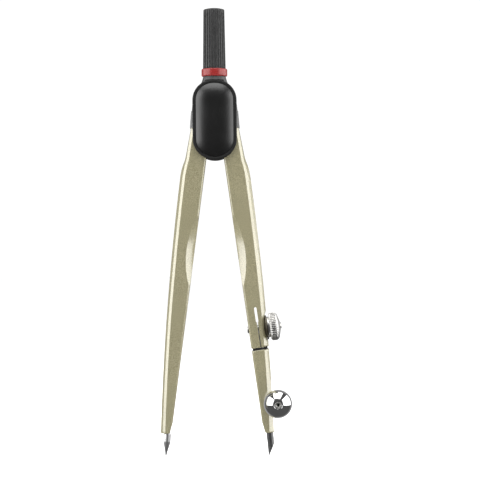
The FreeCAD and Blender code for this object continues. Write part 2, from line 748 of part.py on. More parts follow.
def tongue(name, side, extra):
    """The flat tongue that sits in the top of the leg; extra lengthens it at its top."""
    box = bind(
        doc.addObject("Part::Box", name),
        Length=D.tongue_half * 2,
        Width=D.gear_half * 2,
        Height=D.tongue_length + extra,
    )
    angle = -D.tongue_tilt * side
    lean = math.radians(D.tongue_tilt.value)
    down = D.tongue_length.value
    foot_x = D.tongue_x.value * side + down * math.sin(lean) * side
    foot_x -= D.tongue_half.value * math.cos(lean)
    foot_z = D.shoulder_base.value - down * math.cos(lean)
    foot_z -= D.tongue_half.value * math.sin(lean) * side
    return place(box, foot_x, -D.gear_half, foot_z, Y_AXIS, angle)


def rivet_bars(name, side):
    """The two rivets through leg and tongue."""
    lean = math.radians(D.tongue_tilt.value)
    bars = []
    for label, depth in (("upper", D.rivet_first), ("lower", D.rivet_second)):
        across = D.tongue_x * side + depth * (math.sin(lean) * side)
        height = D.shoulder_base - depth * math.cos(lean)
        length = D.shoulder_half * 2
        bars.append(rod_y(f"{name}_{label}", D.rivet_r, across, height, -D.shoulder_half, length))
    return bars


def leg_head(name, side):
    """Dark moulded head of a leg: gear, hub, shoulder and tongue in one piece."""
    base = D.shoulder_base
    inner = inner_edge(base)
    outer = D.top_outer + D.mould_step
    heel = (inner - D.heel_in, base + D.heel_up)
    web = head_plate(
        name + "_web",
        side,
        D.gear_half,
        [
            (inner, base),
            (outer, base),
            (D.pivot_x + D.boss_r, D.pivot_z),
            (D.pivot_x, D.pivot_z),
            (D.pivot_x - D.throat_in, D.pivot_z - D.throat_down),
            heel,
        ],
    )
    shoulder_top = D.pivot_z - D.shoulder_top
    shoulder = head_plate(
        name + "_shoulder",
        side,
        D.shoulder_half,
        [
            (inner, base),
            (outer, base),
            (D.top_outer - D.shoulder_top_in, shoulder_top),
            (D.pivot_x, shoulder_top),
            (D.pivot_x, base + D.heel_up),
            heel,
        ],
    )
    hollow = rod_y(name + "_hollow", D.shoulder_r, D.pivot_x * side, D.pivot_z, -REACH / 2, REACH)
    blank = fuse(
        name + "_blank",
        gear_blank(name + "_teeth", side),
        web,
        cut(name + "_collar", shoulder, hollow),
        tongue(name + "_tongue", side, D.tongue_root),
    )
    hole = rod_y(name + "_bore", D.bush_r, D.pivot_x * side, D.pivot_z, -REACH / 2, REACH)
    return cut(name, blank, hole, *rivet_bars(name + "_rivet_hole", side))


def leg_bush(name, side):
    inner = D.post_r + D.bush_play
    across = D.pivot_x * side
    return ring(name, D.bush_r, inner, across, D.pivot_z, -D.gear_half, D.gear_half * 2)


def leg_rivets(name, side):
    return group(name, *rivet_bars(name + "_bar", side))


# ---------------------------------------------------------------- painted legs


def leg_blank(name, side, corners):
    """A leg cut from plate: bevelled along its edges, then thinned towards its foot."""
    body = place(new_body(name))
    sketch = outline(new_sketch(body, name + "_profile", "XZ_Plane"), corners, side)
    plate = pad(body, sketch, D.shoulder_half * 2, middle=True)

    def on_a_face(point):
        return abs(abs(point.y) - D.shoulder_half.value) < 1e-3

    def on_outer_edge(point):
        return on_a_face(point) and point.x * side > inner_edge(point.z).value + D.outer_bevel.value

    def on_inner_edge(point):
        return on_a_face(point) and abs(point.x * side - inner_edge(point.z).value) < 1e-3

    plate = dress(body, "Chamfer", "Size", D.outer_bevel, plate, on_outer_edge)
    dress(body, "Chamfer", "Size", D.inner_bevel, plate, on_inner_edge)

    slope = (D.shoulder_half - D.foot_half) / (D.taper_z - D.foot_z)
    for label, face in (("rear", 1), ("front", -1)):
        wedge = new_sketch(body, f"{name}_wedge_{label}", "YZ_Plane")
        wedge_corners = [
            (D.foot_half - slope * BEYOND, D.foot_z - BEYOND),
            (D.shoulder_half + BEYOND, D.foot_z - BEYOND),
            (D.shoulder_half + BEYOND, D.taper_z),
            (D.shoulder_half, D.taper_z),
        ]
        outline(wedge, wedge_corners, face)
        pocket = body.newObject("PartDesign::Pocket", wedge.Name + "_cut")
        pocket.Profile = wedge
        pocket.Midplane = True
        pocket.Length = REACH * 2
    return body


def upper_edge(low_x, low_z):
    """The outer edge from a leg's lower end to its top, each stretch tangent to the next."""
    run = low_x - D.shoulder_x
    climb = D.shoulder_z - low_z
    chord = (run * run + climb * climb).root()
    lean = (run / climb).arc_tan() + (chord / (2 * D.outer_r)).arc_sin()
    round_x = D.shoulder_x - D.flare_round_r * (lean.cos() - D.flare_lean.cos())
    round_z = D.shoulder_z + D.flare_round_r * (D.flare_lean.sin() - lean.sin())
    waist_x = round_x - D.flare_hollow_r * (D.waist_lean.cos() - D.flare_lean.cos())
    waist_z = round_z + D.flare_hollow_r * (D.flare_lean.sin() - D.waist_lean.sin())
    return [
        (low_x, low_z, D.outer_r),
        (D.shoulder_x, D.shoulder_z, D.flare_round_r),
        (round_x, round_z, -D.flare_hollow_r),
        (waist_x, waist_z),
        (waist_x - (D.shoulder_base - waist_z) * D.waist_lean.tan(), D.shoulder_base),
        (inner_edge(D.shoulder_base), D.shoulder_base),
    ]


def scoops(name, side):
    """Two shallow dished hollows, one in each face, that open on the leg's inner edge."""
    span = D.scoop_r - D.scoop_ring
    rise = (D.scoop_tube * D.scoop_tube - span * span).root()
    middle = inner_edge(D.scoop_z) - (D.scoop_r - D.scoop_reach)
    lower = D.scoop_z - (D.scoop_r - D.scoop_reach) * D.inner_slope
    tools = []
    for face, out in (("front", -1), ("rear", 1)):
        tool = doc.addObject("Part::Torus", f"{name}_scoop_{face}")
        bind(tool, Radius1=D.scoop_ring, Radius2=D.scoop_tube)
        tools.append(place(tool, middle * side, (D.scoop_face + rise) * out, lower, X_AXIS, 90))
    return tools


def needle_frame(item, start=0):
    """Stands a tool on the needle's axis, start above the tip."""
    lean = math.radians(D.needle_tilt.value)
    start = as_size(start)
    across = start * math.sin(lean) - D.head_x
    return place(item, across, 0, start * math.cos(lean), Y_AXIS, D.needle_tilt)


def needle_leg():
    side = NEEDLE_SIDE
    corners = [
        (D.foot_inner, D.foot_z),
        *upper_edge(D.foot_outer, D.foot_z),
        (inner_edge(D.foot_cut_z), D.foot_cut_z),
    ]
    blank = leg_blank("needle_leg_blank", side, corners)
    bore_length = D.needle_length - D.needle_shoulder + BEYOND
    needle_bore = cylinder("needle_bore", D.needle_shank_r, bore_length)
    needle_frame(needle_bore, D.needle_shoulder - BEYOND)
    return cut(
        "needle_leg",
        blank,
        *scoops("needle_leg", side),
        tongue("needle_leg_slot", side, BEYOND),
        *rivet_bars("needle_leg_rivet_hole", side),
        needle_bore,
    )


def needle_point():
    body = needle_frame(new_body("needle_point"))
    profile = new_sketch(body, "needle_profile", "XZ_Plane")
    corners = [
        (0, 0),
        (D.needle_tip_r, D.needle_tip_r),
        (D.needle_r, D.needle_cone),
        (D.needle_r, D.needle_shoulder),
        (D.needle_shank_r, D.needle_shoulder),
        (D.needle_shank_r, D.needle_length),
        (0, D.needle_length),
    ]
    revolve(body, outline(profile, corners))
    return body


# ---------------------------------------------------------------- clamp end of the lead leg


def at_clamp(item, out=0, up=0, y=0, along=False):
    """Puts an object in the clamp's tilted frame; along=True lays its Z axis along the screw."""
    lean = math.radians(D.clamp_tilt.value)
    out = as_size(out)
    up = as_size(up)
    across = D.clamp_x + out * math.cos(lean) - up * math.sin(lean)
    height = D.clamp_z + out * math.sin(lean) + up * math.cos(lean)
    angle = as_size(90) - D.clamp_tilt if along else -D.clamp_tilt
    return place(item, across, y, height, Y_AXIS, angle)


def clamp_block(name, half, low, high):
    """A slot right through the leg along Y, in the clamp's frame."""
    box = bind(doc.addObject("Part::Box", name), Length=half * 2, Width=REACH, Height=high - low)
    return at_clamp(box, -half, low, -REACH / 2)


def slot_end(name):
    lean = math.radians(D.clamp_tilt.value)
    across = D.clamp_x - D.gap_top * math.sin(lean)
    height = D.clamp_z + D.gap_top * math.cos(lean)
    return rod_y(name, D.gap_half, across, height, -REACH / 2, REACH)


def lead_leg():
    side = LEAD_SIDE
    corners = [
        (inner_edge(D.split_low_in_z), D.split_low_in_z),
        *upper_edge(D.split_low_out_x, D.split_low_out_z),
    ]
    blank = leg_blank("lead_leg_blank", side, corners)
    wide_slot = clamp_block("clamp_slot", D.gap_half, D.gap_low, D.gap_top)
    thin_slit = clamp_block("clamp_slit", D.slit_half, -D.clamp_low, D.gap_low)
    socket = at_clamp(cylinder("shank_socket", D.socket_r, D.clamp_low + D.socket_top), up=-D.clamp_low)
    stud_hole = at_clamp(cylinder("stud_hole", D.stud_hole_r, REACH), out=-REACH / 2, along=True)
    ball = bind(doc.addObject("Part::Sphere", "knob_seat"), Radius=D.seat_r)
    seat = at_clamp(ball, out=D.seat_at + D.seat_r)
    return cut(
        "lead_leg",
        blank,
        *scoops("lead_leg", side),
        tongue("lead_leg_slot", side, BEYOND),
        *rivet_bars("lead_leg_rivet_hole", side),
        wide_slot,
        slot_end("clamp_slot_end"),
        thin_slit,
        socket,
        stud_hole,
        seat,
    )


def clamp_washer():
    """Washer that is round on the leg's side and flat on the knob's."""
    disc = cylinder("clamp_washer_disc", D.clamp_washer_r, D.clamp_washer_end - D.seat_at)
    ball = bind(doc.addObject("Part::Sphere", "clamp_washer_ball"), Radius=D.seat_r - D.clamp_gap)
    blank = doc.addObject("Part::Common", "clamp_washer_blank")
    blank.Base = at_clamp(disc, out=D.seat_at, along=True)
    blank.Tool = at_clamp(ball, out=D.seat_at + D.seat_r)
    hole = at_clamp(cylinder("clamp_washer_hole", D.stud_hole_r, REACH), out=-REACH / 2, along=True)
    return cut("clamp_washer", blank, hole)


def clamp_knob():
    body = new_body("clamp_knob")
    foot = D.clamp_washer_end + D.clamp_gap
    at_clamp(body, out=foot, along=True)
    band_end = D.knob_flange + D.knob_band
    face = band_end + D.knob_bevel
    nub_base = face + D.knob_cone
    profile = new_sketch(body, "knob_profile", "XZ_Plane")
    corners = [
        (D.stud_r, 0),
        (D.knob_flange_r, 0),
        (D.knob_flange_r, D.knob_flange),
        (D.knob_r, D.knob_flange),
        (D.knob_r, band_end),
        (D.knob_r - D.knob_bevel, face),
        (D.knob_face_r, nub_base),
        (D.stud_r, nub_base),
    ]
    revolve(body, outline(profile, corners))
    groove = bore(body, "knurl", D.knurl_r, D.knob_band + D.knob_bevel, (D.knob_r, 0, D.knob_flange))
    around(body, groove, D.knurl_count)
    return body


def clamp_screw():
    foot = D.clamp_washer_end + D.clamp_gap
    end = foot + D.knob_flange + D.knob_band + D.knob_bevel + D.knob_cone + D.knob_nub
    return at_clamp(cylinder("clamp_screw", D.stud_r, end - D.stud_in), out=D.stud_in, along=True)


# ---------------------------------------------------------------- lead insert


def at_lead(item, up=0, out=0):
    """Stands an object on the lead's tilted axis."""
    lean = math.radians(D.lead_tilt.value)
    up = as_size(up)
    out = as_size(out)
    across = D.lead_x - up * math.sin(lean) + out * math.cos(lean)
    height = D.lead_z + up * math.cos(lean) + out * math.sin(lean)
    return place(item, across, 0, height, Y_AXIS, -D.lead_tilt)


def insert_arm():
    corners = [
        (D.foot_inner, D.foot_z),
        (D.foot_outer, D.foot_z, D.outer_r),
        (D.insert_top_out_x, D.insert_top_out_z),
        (inner_edge(D.insert_top_in_z), D.insert_top_in_z),
        (inner_edge(D.foot_cut_z), D.foot_cut_z),
    ]
    arm = leg_blank("insert_arm_blank", LEAD_SIDE, corners)
    lug = rod_y("lug", D.lug_r, D.ball_x, D.ball_z, -D.lug_half, D.lug_half * 2)
    lead_bore = at_lead(cylinder("lead_bore", D.lead_bore_r, D.lead_bore_up + BEYOND), up=-BEYOND)
    slit = bind(
        doc.addObject("Part::Box", "lead_slit"),
        Length=D.lug_r * 4,
        Width=D.slit_half * 2,
        Height=D.lead_slit_up + BEYOND,
    )
    at_lead(slit, up=-BEYOND)
    slit.setExpression("Placement.Base.y", (-D.slit_half).text)
    bolt_hole = rod_y("bolt_hole", D.bolt_r, D.ball_x, D.ball_z, -REACH / 2, REACH)
    shank_hole = at_clamp(cylinder("shank_hole", D.shank_r, -D.shank_low), up=D.shank_low)
    return cut("insert_arm", fuse("insert_arm_solid", arm, lug), lead_bore, slit, bolt_hole, shank_hole)


def insert_shank():
    shank = cylinder("insert_shank", D.shank_r, D.shank_top - D.shank_low)
    return at_clamp(shank, up=D.shank_low)


def insert_spacer():
    """Dark spacer that fills the split round the shank."""
    box = bind(
        doc.addObject("Part::Box", "spacer_block"),
        Length=D.spacer_out - D.spacer_in,
        Width=D.spacer_half * 2,
        Height=D.spacer_top - D.spacer_low,
    )
    at_clamp(box, D.spacer_in, D.spacer_low, -D.spacer_half)
    hole = at_clamp(cylinder("spacer_hole", D.shank_r, -D.shank_low), up=D.shank_low)
    return cut("insert_spacer", box, hole)


def ball_stud():
    length = D.bolt_front + D.lug_half
    bar = rod_y("ball_stud_bar", D.bolt_r, D.ball_x, D.ball_z, -D.bolt_front, length)
    head = rod_y("ball_stud_head", D.bolt_head_r, D.ball_x, D.ball_z, D.lug_half, D.bolt_head)
    depth = D.bolt_ring_depth + BEYOND
    hollow = rod_y("ball_stud_hollow", D.bolt_ring_r, D.ball_x, D.ball_z, -D.bolt_front - BEYOND, depth)
    return cut("ball_stud", fuse("ball_stud_blank", bar, head), hollow)


def ball_washer():
    start = -D.ball_washer_in - D.ball_washer_thick
    hole_r = D.bolt_r + D.bolt_play
    return ring("ball_washer", D.ball_washer_r, hole_r, D.ball_x, D.ball_z, start, D.ball_washer_thick)


def ball_knob():
    ball = bind(doc.addObject("Part::Sphere", "ball"), Radius=D.ball_r)
    place(ball, D.ball_x, -D.ball_y, D.ball_z)
    flat = block("ball_flat", D.ball_x - D.ball_r * 2, -D.ball_seat, D.ball_z - D.ball_r * 2,
                 D.ball_r * 4, D.ball_r * 2, D.ball_r * 4)
    hole = rod_y("ball_hole", D.bolt_r + D.bolt_play, D.ball_x, D.ball_z, -REACH / 2, REACH)
    front = -D.ball_recess_y - D.ball_r
    recess = rod_y("ball_recess", D.ball_recess_r, D.ball_x, D.ball_z, front, D.ball_r)
    return cut("ball_knob", ball, flat, hole, recess)


def lead():
    """Round lead with a chisel bevel that faces outward."""
    body = at_lead(new_body("lead"), up=-D.lead_down)
    circle = new_sketch(body, "lead_section", "XY_Plane")
    circle.addGeometry(Part.Circle(FreeCAD.Vector(0, 0, 0), Z_AXIS, D.lead_r.value), False)
    circle.addConstraint(Sketcher.Constraint("Coincident", 0, 3, -1, 1))
    made = circle.addConstraint(Sketcher.Constraint("Radius", 0, D.lead_r.value))
    circle.renameConstraint(made, "radius")
    circle.setExpression("Constraints.radius", D.lead_r.text)
    pad(body, circle, D.lead_down + D.lead_up)
    bevel = new_sketch(body, "lead_bevel", "XZ_Plane")
    rise = D.chisel_height / (D.lead_r * 2)
    far = D.lead_r * 2
    corners = [(-D.lead_r, 0), (-D.lead_r, -BEYOND), (far, -BEYOND), (far, rise * (far + D.lead_r))]
    outline(bevel, corners)
    pocket = body.newObject("PartDesign::Pocket", "lead_bevel_cut")
    pocket.Profile = bevel
    pocket.Midplane = True
    pocket.Length = REACH
    return body


# ---------------------------------------------------------------- assembly


def build():
    pieces = [
        handle_grip(),
        collar_ring(),
        neck_cone(),
        fork_bracket(),
        fork_stem(),
        front_cover(),
        rear_cover(),
        hinge_post("left_post", NEEDLE_SIDE),
        hinge_post("right_post", LEAD_SIDE),
        cover_screws(),
        hinge_washers(),
    ]
    for name, side in (("needle_leg", NEEDLE_SIDE), ("lead_leg", LEAD_SIDE)):
        pieces += [
            leg_head(name + "_gear", side),
            leg_bush(name + "_bush", side),
            leg_rivets(name + "_rivets", side),
        ]
    pieces += [
        needle_leg(),
        needle_point(),
        lead_leg(),
        clamp_washer(),
        clamp_knob(),
        clamp_screw(),
        insert_arm(),
        insert_shank(),
        insert_spacer(),
        ball_stud(),
        ball_washer(),
        ball_knob(),
        lead(),
    ]
    return pieces


def check(pieces):
    """Stops if any object failed or any piece isn't a good solid."""
    for item in doc.Objects:
        if "Invalid" in item.State or "Error" in item.State:
            raise RuntimeError(f"{item.Name} failed: {item.State}")
    for piece in pieces:
        shape = piece.Shape
        if shape.isNull() or not shape.isValid() or not shape.Solids:
            raise RuntimeError(f"{piece.Label} has no valid solid")
        print(f"{piece.Label:20s} {len(shape.Solids)} solid(s) {shape.Volume:9.2f} mm3  "
              f"x {shape.BoundBox.XMin:7.2f} {shape.BoundBox.XMax:7.2f}  "
              f"y {shape.BoundBox.YMin:7.2f} {shape.BoundBox.YMax:7.2f}  "
              f"z {shape.BoundBox.ZMin:7.2f} {shape.BoundBox.ZMax:7.2f}")


pieces = build()
doc.recompute()
check(pieces)
os.makedirs("parts", exist_ok=True)
for piece in pieces:
    piece.Shape.exportStep(f"parts/{piece.Label}.step")
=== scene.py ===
import math

import bmesh
import bpy
from mathutils import Matrix, Vector


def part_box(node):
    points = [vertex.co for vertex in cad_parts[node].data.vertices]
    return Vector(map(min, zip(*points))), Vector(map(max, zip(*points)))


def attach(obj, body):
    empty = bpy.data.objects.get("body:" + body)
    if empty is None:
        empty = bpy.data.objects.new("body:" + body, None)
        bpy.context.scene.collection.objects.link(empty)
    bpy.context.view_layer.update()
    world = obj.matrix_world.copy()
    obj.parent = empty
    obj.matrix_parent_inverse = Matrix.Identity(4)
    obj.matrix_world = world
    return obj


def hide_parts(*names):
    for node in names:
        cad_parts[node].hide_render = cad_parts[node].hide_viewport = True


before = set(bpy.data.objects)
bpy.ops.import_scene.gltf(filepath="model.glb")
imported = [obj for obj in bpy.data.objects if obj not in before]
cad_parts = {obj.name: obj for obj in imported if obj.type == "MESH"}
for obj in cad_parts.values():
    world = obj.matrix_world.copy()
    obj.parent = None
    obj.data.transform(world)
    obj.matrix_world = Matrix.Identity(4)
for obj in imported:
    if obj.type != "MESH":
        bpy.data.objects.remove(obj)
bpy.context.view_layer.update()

# The looks of a drawing compass. All sizes here are in millimetres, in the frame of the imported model: origin
# at the needle's tip, +Z up along the handle, +X from the needle leg to the lead leg, -Y to the front.
# "Across" is measured from the head's own axis, and "along" on a turned piece is measured on its axis.

MM = 0.001
TINY = 1e-6


class Span:
    """Box of a CAD node at rest, in millimetres."""

    def __init__(self, node):
        self.low, self.high = (Vector(corner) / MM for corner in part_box(node))
        self.middle = (self.low + self.high) / 2
        self.size = self.high - self.low


GRIP = Span("handle_grip")
COLLAR = Span("collar_ring")
COVER = Span("front_cover")
BALL = Span("ball_knob")
HEAD_X = GRIP.middle.x

# leg outline
INNER_REF, INNER_START, INNER_SLOPE = 97.3, 1.0, 0.1366
FOOT_Z, FOOT_OUTER, FOOT_INNER, FOOT_CUT_Z = 6.75, 16.44, 13.85, 9.8
LONG_R, SHOULDER_X, SHOULDER_Z = 825.0, 10.16, 81.06
FLARE_R, HOLLOW_R = 16.0, 12.0
FLARE_LEAN, WAIST_LEAN = math.radians(22.0), math.radians(10.8)
LEG_TOP = 95.07
TAPER_Z, THICK_HALF, FOOT_HALF = 80.0, 2.15, 1.7
LEG_LEVEL, ARM_LEVEL = 34.0, 27.5  # heights where level sections give way to slanted ones at the split
ROW_STEP, FAN_STEP = 0.35, 0.5
EDGE_ROUND, FOOT_MARGIN = 0.3, 0.1

# leg section, from the inner edge outward: inner bevel, flat face, outer bevel, outer strip
INNER_BEVEL, INNER_DROP = 0.42, 0.08
INNER_STEPS = (0.06, 0.18, 0.3, INNER_BEVEL - 0.04, INNER_BEVEL + 0.06)
INNER_COLUMNS = 2 + len(INNER_STEPS)
FLAT_COLUMNS, FLAT_MARGIN, FLAT_LEAD, FLAT_ROUND = 4, 0.2, 0.4, 0.1
BEVEL_WIDTH, BEVEL_DEPTH, BEVEL_ROUND = 0.74, 0.62, 0.12
STRIP_LOW, STRIP_ROUND = 0.12, 0.08
# (height, width) of the strip, from the top down
STRIP_WIDTHS = ((95.1, 0.2), (87.5, 0.38), (83.0, 0.75), (54.0, 0.7), (40.0, 0.6), (0.0, 0.6))

# scoops in the inner edges: an arc turned on a large circle
SCOOP_Z, SCOOP_EDGE_Z, SCOOP_R, SCOOP_REACH, SCOOP_FACE = 55.86, 59.4, 28.5, 2.6, 2.05
SCOOP_RING, SCOOP_TUBE = 23.2, 9.0
SCOOP_ACROSS = INNER_START + INNER_SLOPE * (INNER_REF - SCOOP_EDGE_Z) - (SCOOP_R - SCOOP_REACH)
SCOOP_CENTRE_Y = SCOOP_FACE + math.sqrt(SCOOP_TUBE**2 - (SCOOP_R - SCOOP_RING) ** 2)
SCOOP_TOP, SCOOP_LOW = 71.3, 47.8
SCOOP_COLUMNS, SCOOP_COLUMN_GAP = 7, 0.04

# clamp at the split of the lead leg, in its own tilted frame
CLAMP_ACROSS, CLAMP_Z, CLAMP_TILT = 12.05, 36.9, math.radians(7.8)
SPLIT_IN_Z, SPLIT_OUT_Z = 31.1, 31.76
INSERT_IN_Z, INSERT_OUT_Z = 30.5, 31.16
SLOT_HALF, SLOT_LOW, SLOT_TOP, SLIT_HALF, SLIT_LOW = 0.36, 1.9, 5.95, 0.15, -9.0
SLOT_FLARE, CUTTER_REACH, HOLE_HALF = 0.05, 1.0, 8.0
SOCKET_R, SOCKET_LOW, SOCKET_TOP = 1.53, -9.5, -1.25
SCREW_R, SCREW_HOLE_R, SCREW_IN = 1.0, 1.06, -3.2
SEAT_R, SEAT_CENTRE, SEAT_PLAY = 9.5, 11.15, 0.05
WASHER_R, WASHER_END, WASHER_CHAMFER = 3.5, 2.75, 0.08
KNOB_FOOT, KNOB_R, FLANGE_R, FLANGE = 2.8, 4.05, 3.0, 0.6
BAND, KNOB_BEVEL, CONE, CONE_R, NUB = 2.0, 0.45, 0.6, 1.3, 0.35
BACK_DROP, BACK_RUN, FACE_DROP, FACE_RUN = 0.35, 0.55, 0.7, 0.2  # how the knob's rim falls off either way
KNURLS, KNURL_R, KNURL_FADE = 44, 0.2, 0.12

# ball screw
BALL_R, BALL_CENTRE, BALL_SEAT, BALL_RECESS_R, BALL_RECESS_Y = 4.08, 6.1, 2.5, 1.25, 9.55
LUG_R, LUG_HALF = 3.0, 1.7
BOLT_R, BOLT_PLAY, BOLT_FRONT, BOLT_HEAD_R, BOLT_HEAD = 1.0, 0.04, 9.85, 2.0, 0.7
BOLT_HOLLOW_R, BOLT_HOLLOW = 0.55, 0.3
BALL_WASHER_R, BALL_WASHER_AT, BALL_WASHER_THICK = 2.5, 1.75, 0.7

# lead and needle
LEAD_ACROSS, LEAD_Z, LEAD_TILT = 15.2, 6.35, math.radians(5.5)
LEAD_R, LEAD_BORE_R, LEAD_UP, LEAD_DOWN = 1.0, 1.04, 13.5, 6.283
CHISEL, CHISEL_TIP, CHISEL_ROWS, PLAIN_ROWS = 3.6, 0.08, 30, 16
BORE_LOW, BORE_HIGH, LEAD_SLIT_HIGH, LEAD_SLIT_OUT = -3.0, 18.5, 15.5, 8.0
NEEDLE_TILT, NEEDLE_R, NEEDLE_CONE, NEEDLE_SHOULDER = math.radians(5.0), 1.05, 4.4, 6.62
NEEDLE_SHANK_R, NEEDLE_LENGTH, NEEDLE_TIP_R = 0.8, 11.5, 0.06

# handle and covers
FLUTES, FLUTE_R, FLUTE_FADE = 26, 0.3, 0.9
STEM_R, GRIP_R, GRIP_TOP_R, DOME = 1.5, 3.3, 3.05, 0.4
COVER_HALF, TOP_R, TOP_CORNER, BOTTOM_R, BOTTOM_CORNER = 6.38, 8.8, 5.8, 6.6, 6.2
COVER_IN, RIM_Y, PILLOW_Y, RIM_WIDTH = 2.5, 3.6, 4.75, 0.95
PILLOW_STEP, PILLOW_INSET, PILLOW_ROWS, FRONT_DOME, REAR_DOME = 0.1, 0.14, 24, 4.3, 1.1
COVER_SCREW_ACROSS, COVER_SCREW_SEAT, COVER_SCREW_Z, COUNTERBORE_R = 3.2, 3.3, 101.2, 1.6

# studio
ROOM_LIGHT, DIM_SIDE, BRIGHT_SIDE, BRIGHT_FROM = 1.06, 0.09, 0.5, 0.45
FLOOR_Z, FLOOR_HALF = -16.0, 3000
LIGHT_AIM = (19, 0, 60)
SOFTBOXES = (  # name, place, width, height, radiance
    ("left_box", (-450, -110, 185), 720, 500, 2.2),
    ("right_box", (490, -60, 175), 820, 490, 2.1),
    ("top_box", (10, -60, 540), 520, 760, 2.0),
)
CAMERA_ACROSS, CAMERA_Y, CAMERA_Z, CAMERA_ROLL = 7.0, -470.0, 62.6, math.radians(0.5)
LENS_MM, SENSOR_MM = 121.6, 36.0


# ---------------------------------------------------------------- materials


class Finish:
    """A Principled material whose detail comes from procedural patterns in object space."""

    def __init__(self, name, **constants):
        self.material = bpy.data.materials.new(name)
        self.material.use_nodes = True
        self.tree = self.material.node_tree
        self.shader = self.tree.nodes["Principled BSDF"]
        self.place = self.tree.nodes.new("ShaderNodeTexCoord").outputs["Object"]
        for socket, value in constants.items():
            self.shader.inputs[socket.replace("_", " ")].default_value = value

    def noise(self, grain_mm, detail=3.0, stretch=(1, 1, 1)):
        """A noise with grains of about that size; stretch divides its frequency along an axis."""
        mapping = self.tree.nodes.new("ShaderNodeMapping")
        mapping.inputs["Scale"].default_value = [1 / (grain_mm * MM * s) for s in stretch]
        pattern = self.tree.nodes.new("ShaderNodeTexNoise")
        pattern.inputs["Scale"].default_value = 1.0
        pattern.inputs["Detail"].default_value = detail
        self.tree.links.new(self.place, mapping.inputs["Vector"])
        self.tree.links.new(mapping.outputs["Vector"], pattern.inputs["Vector"])
        return pattern.outputs["Fac"]

    def ramp(self, pattern, stops):
        """Colours along a pattern; stops are (position, colour)."""
        node = self.tree.nodes.new("ShaderNodeValToRGB")
        marks = node.color_ramp.elements
        while len(marks) < len(stops):
            marks.new(0.5)
        for mark, (position, colour) in zip(marks, stops):
            mark.position = position
            mark.color = (*colour, 1.0)
        self.tree.links.new(pattern, node.inputs["Fac"])
        return node.outputs["Color"]

    def tint(self, pattern, *stops):
        self.tree.links.new(self.ramp(pattern, stops), self.shader.inputs["Base Color"])

    def tint_twice(self, coarse, coarse_stops, fine, fine_stops):
        """Two patterns multiplied into the base colour."""
        mix = self.tree.nodes.new("ShaderNodeMix")
        mix.data_type = "RGBA"
        mix.blend_type = "MULTIPLY"
        mix.inputs["Factor"].default_value = 1.0
        colours = [socket for socket in mix.inputs if socket.type == "RGBA"]
        self.tree.links.new(self.ramp(coarse, coarse_stops), colours[0])
        self.tree.links.new(self.ramp(fine, fine_stops), colours[1])
        result = [socket for socket in mix.outputs if socket.type == "RGBA"][0]
        self.tree.links.new(result, self.shader.inputs["Base Color"])

    def roughen(self, pattern, low, high):
        """Roughness that varies with a pattern, over the pattern's usual values."""
        node = self.tree.nodes.new("ShaderNodeMapRange")
        for socket, value in (("From Min", 0.3), ("From Max", 0.7), ("To Min", low), ("To Max", high)):
            node.inputs[socket].default_value = value
        self.tree.links.new(pattern, node.inputs["Value"])
        self.tree.links.new(node.outputs["Result"], self.shader.inputs["Roughness"])

    def bump(self, pattern, depth_mm, strength=1.0):
        node = self.tree.nodes.new("ShaderNodeBump")
        node.inputs["Strength"].default_value = strength
        node.inputs["Distance"].default_value = depth_mm * MM
        self.tree.links.new(pattern, node.inputs["Height"])
        self.tree.links.new(node.outputs["Normal"], self.shader.inputs["Normal"])


def grey(level):
    return (level, level, level)


def leg_paint(name, second_grain, *second_stops):
    """Champagne metallic lacquer; a second pattern darkens it in places."""
    finish = Finish(name, Metallic=0.30, Coat_Weight=1.0, Coat_Roughness=0.16, Coat_IOR=2.2)
    flakes = finish.noise(0.16, 2.0)
    base = [(0.32, (0.160, 0.143, 0.073)), (0.68, (0.340, 0.313, 0.192))]
    finish.tint_twice(flakes, base, finish.noise(second_grain, 3.0), second_stops)
    finish.roughen(finish.noise(1.8, 4.0), 0.33, 0.42)
    finish.bump(flakes, 0.012, 0.35)
    return finish.material


def moulding(name, low, high, roughness, grain, depth, **constants):
    """A moulded plastic with a fine grain."""
    finish = Finish(name, **constants)
    finish.tint(finish.noise(grain * 6, 3.0), (0.35, low), (0.65, high))
    finish.roughen(finish.noise(grain * 9, 3.0), *roughness)
    finish.bump(finish.noise(grain, 3.0), depth)
    return finish.material


def metal(name, low, high, roughness, stretch, grain=0.12, depth=0.002):
    """A bare or plated metal with fine tool marks along one direction."""
    finish = Finish(name, Metallic=1.0)
    marks = finish.noise(grain, 4.0, stretch)
    finish.tint(finish.noise(2.2, 3.0), (0.3, low), (0.7, high))
    finish.roughen(marks, *roughness)
    finish.bump(marks, depth, 0.6)
    return finish.material


def graphite():
    finish = Finish("graphite", Metallic=0.9)
    finish.tint(finish.noise(0.35, 4.0), (0.3, grey(0.10)), (0.7, grey(0.17)))
    finish.roughen(finish.noise(0.8, 3.0), 0.28, 0.38)
    finish.bump(finish.noise(0.12, 4.0), 0.01)
    return finish.material


PAINT = leg_paint("leg_paint", 9.0, (0.35, grey(0.95)), (0.65, grey(1.0)))  # faint clouds
WORN_PAINT = leg_paint("leg_paint_scoop", 0.55, (0.27, grey(0.3)), (0.33, grey(1.0)))  # a few worn specks
GRIP_BLACK = moulding("grip_black", grey(0.018), grey(0.028), (0.38, 0.52), 0.14, 0.006)
COLLAR_RED = moulding(
    "collar_red", (0.16, 0.006, 0.005), (0.20, 0.009, 0.008), (0.28, 0.38), 0.2, 0.003,
    Coat_Weight=0.2, Coat_Roughness=0.1,
)
NECK_GREY = moulding("neck_grey", grey(0.026), grey(0.036), (0.35, 0.5), 0.16, 0.004)
RIM_BLACK = moulding(
    "rim_black", grey(0.006), grey(0.009), (0.45, 0.58), 0.12, 0.006, Specular_IOR_Level=0.3
)
PILLOW_BLACK = moulding(
    "pillow_black", grey(0.001), grey(0.002), (0.28, 0.33), 0.6, 0.001, Specular_IOR_Level=1.0
)
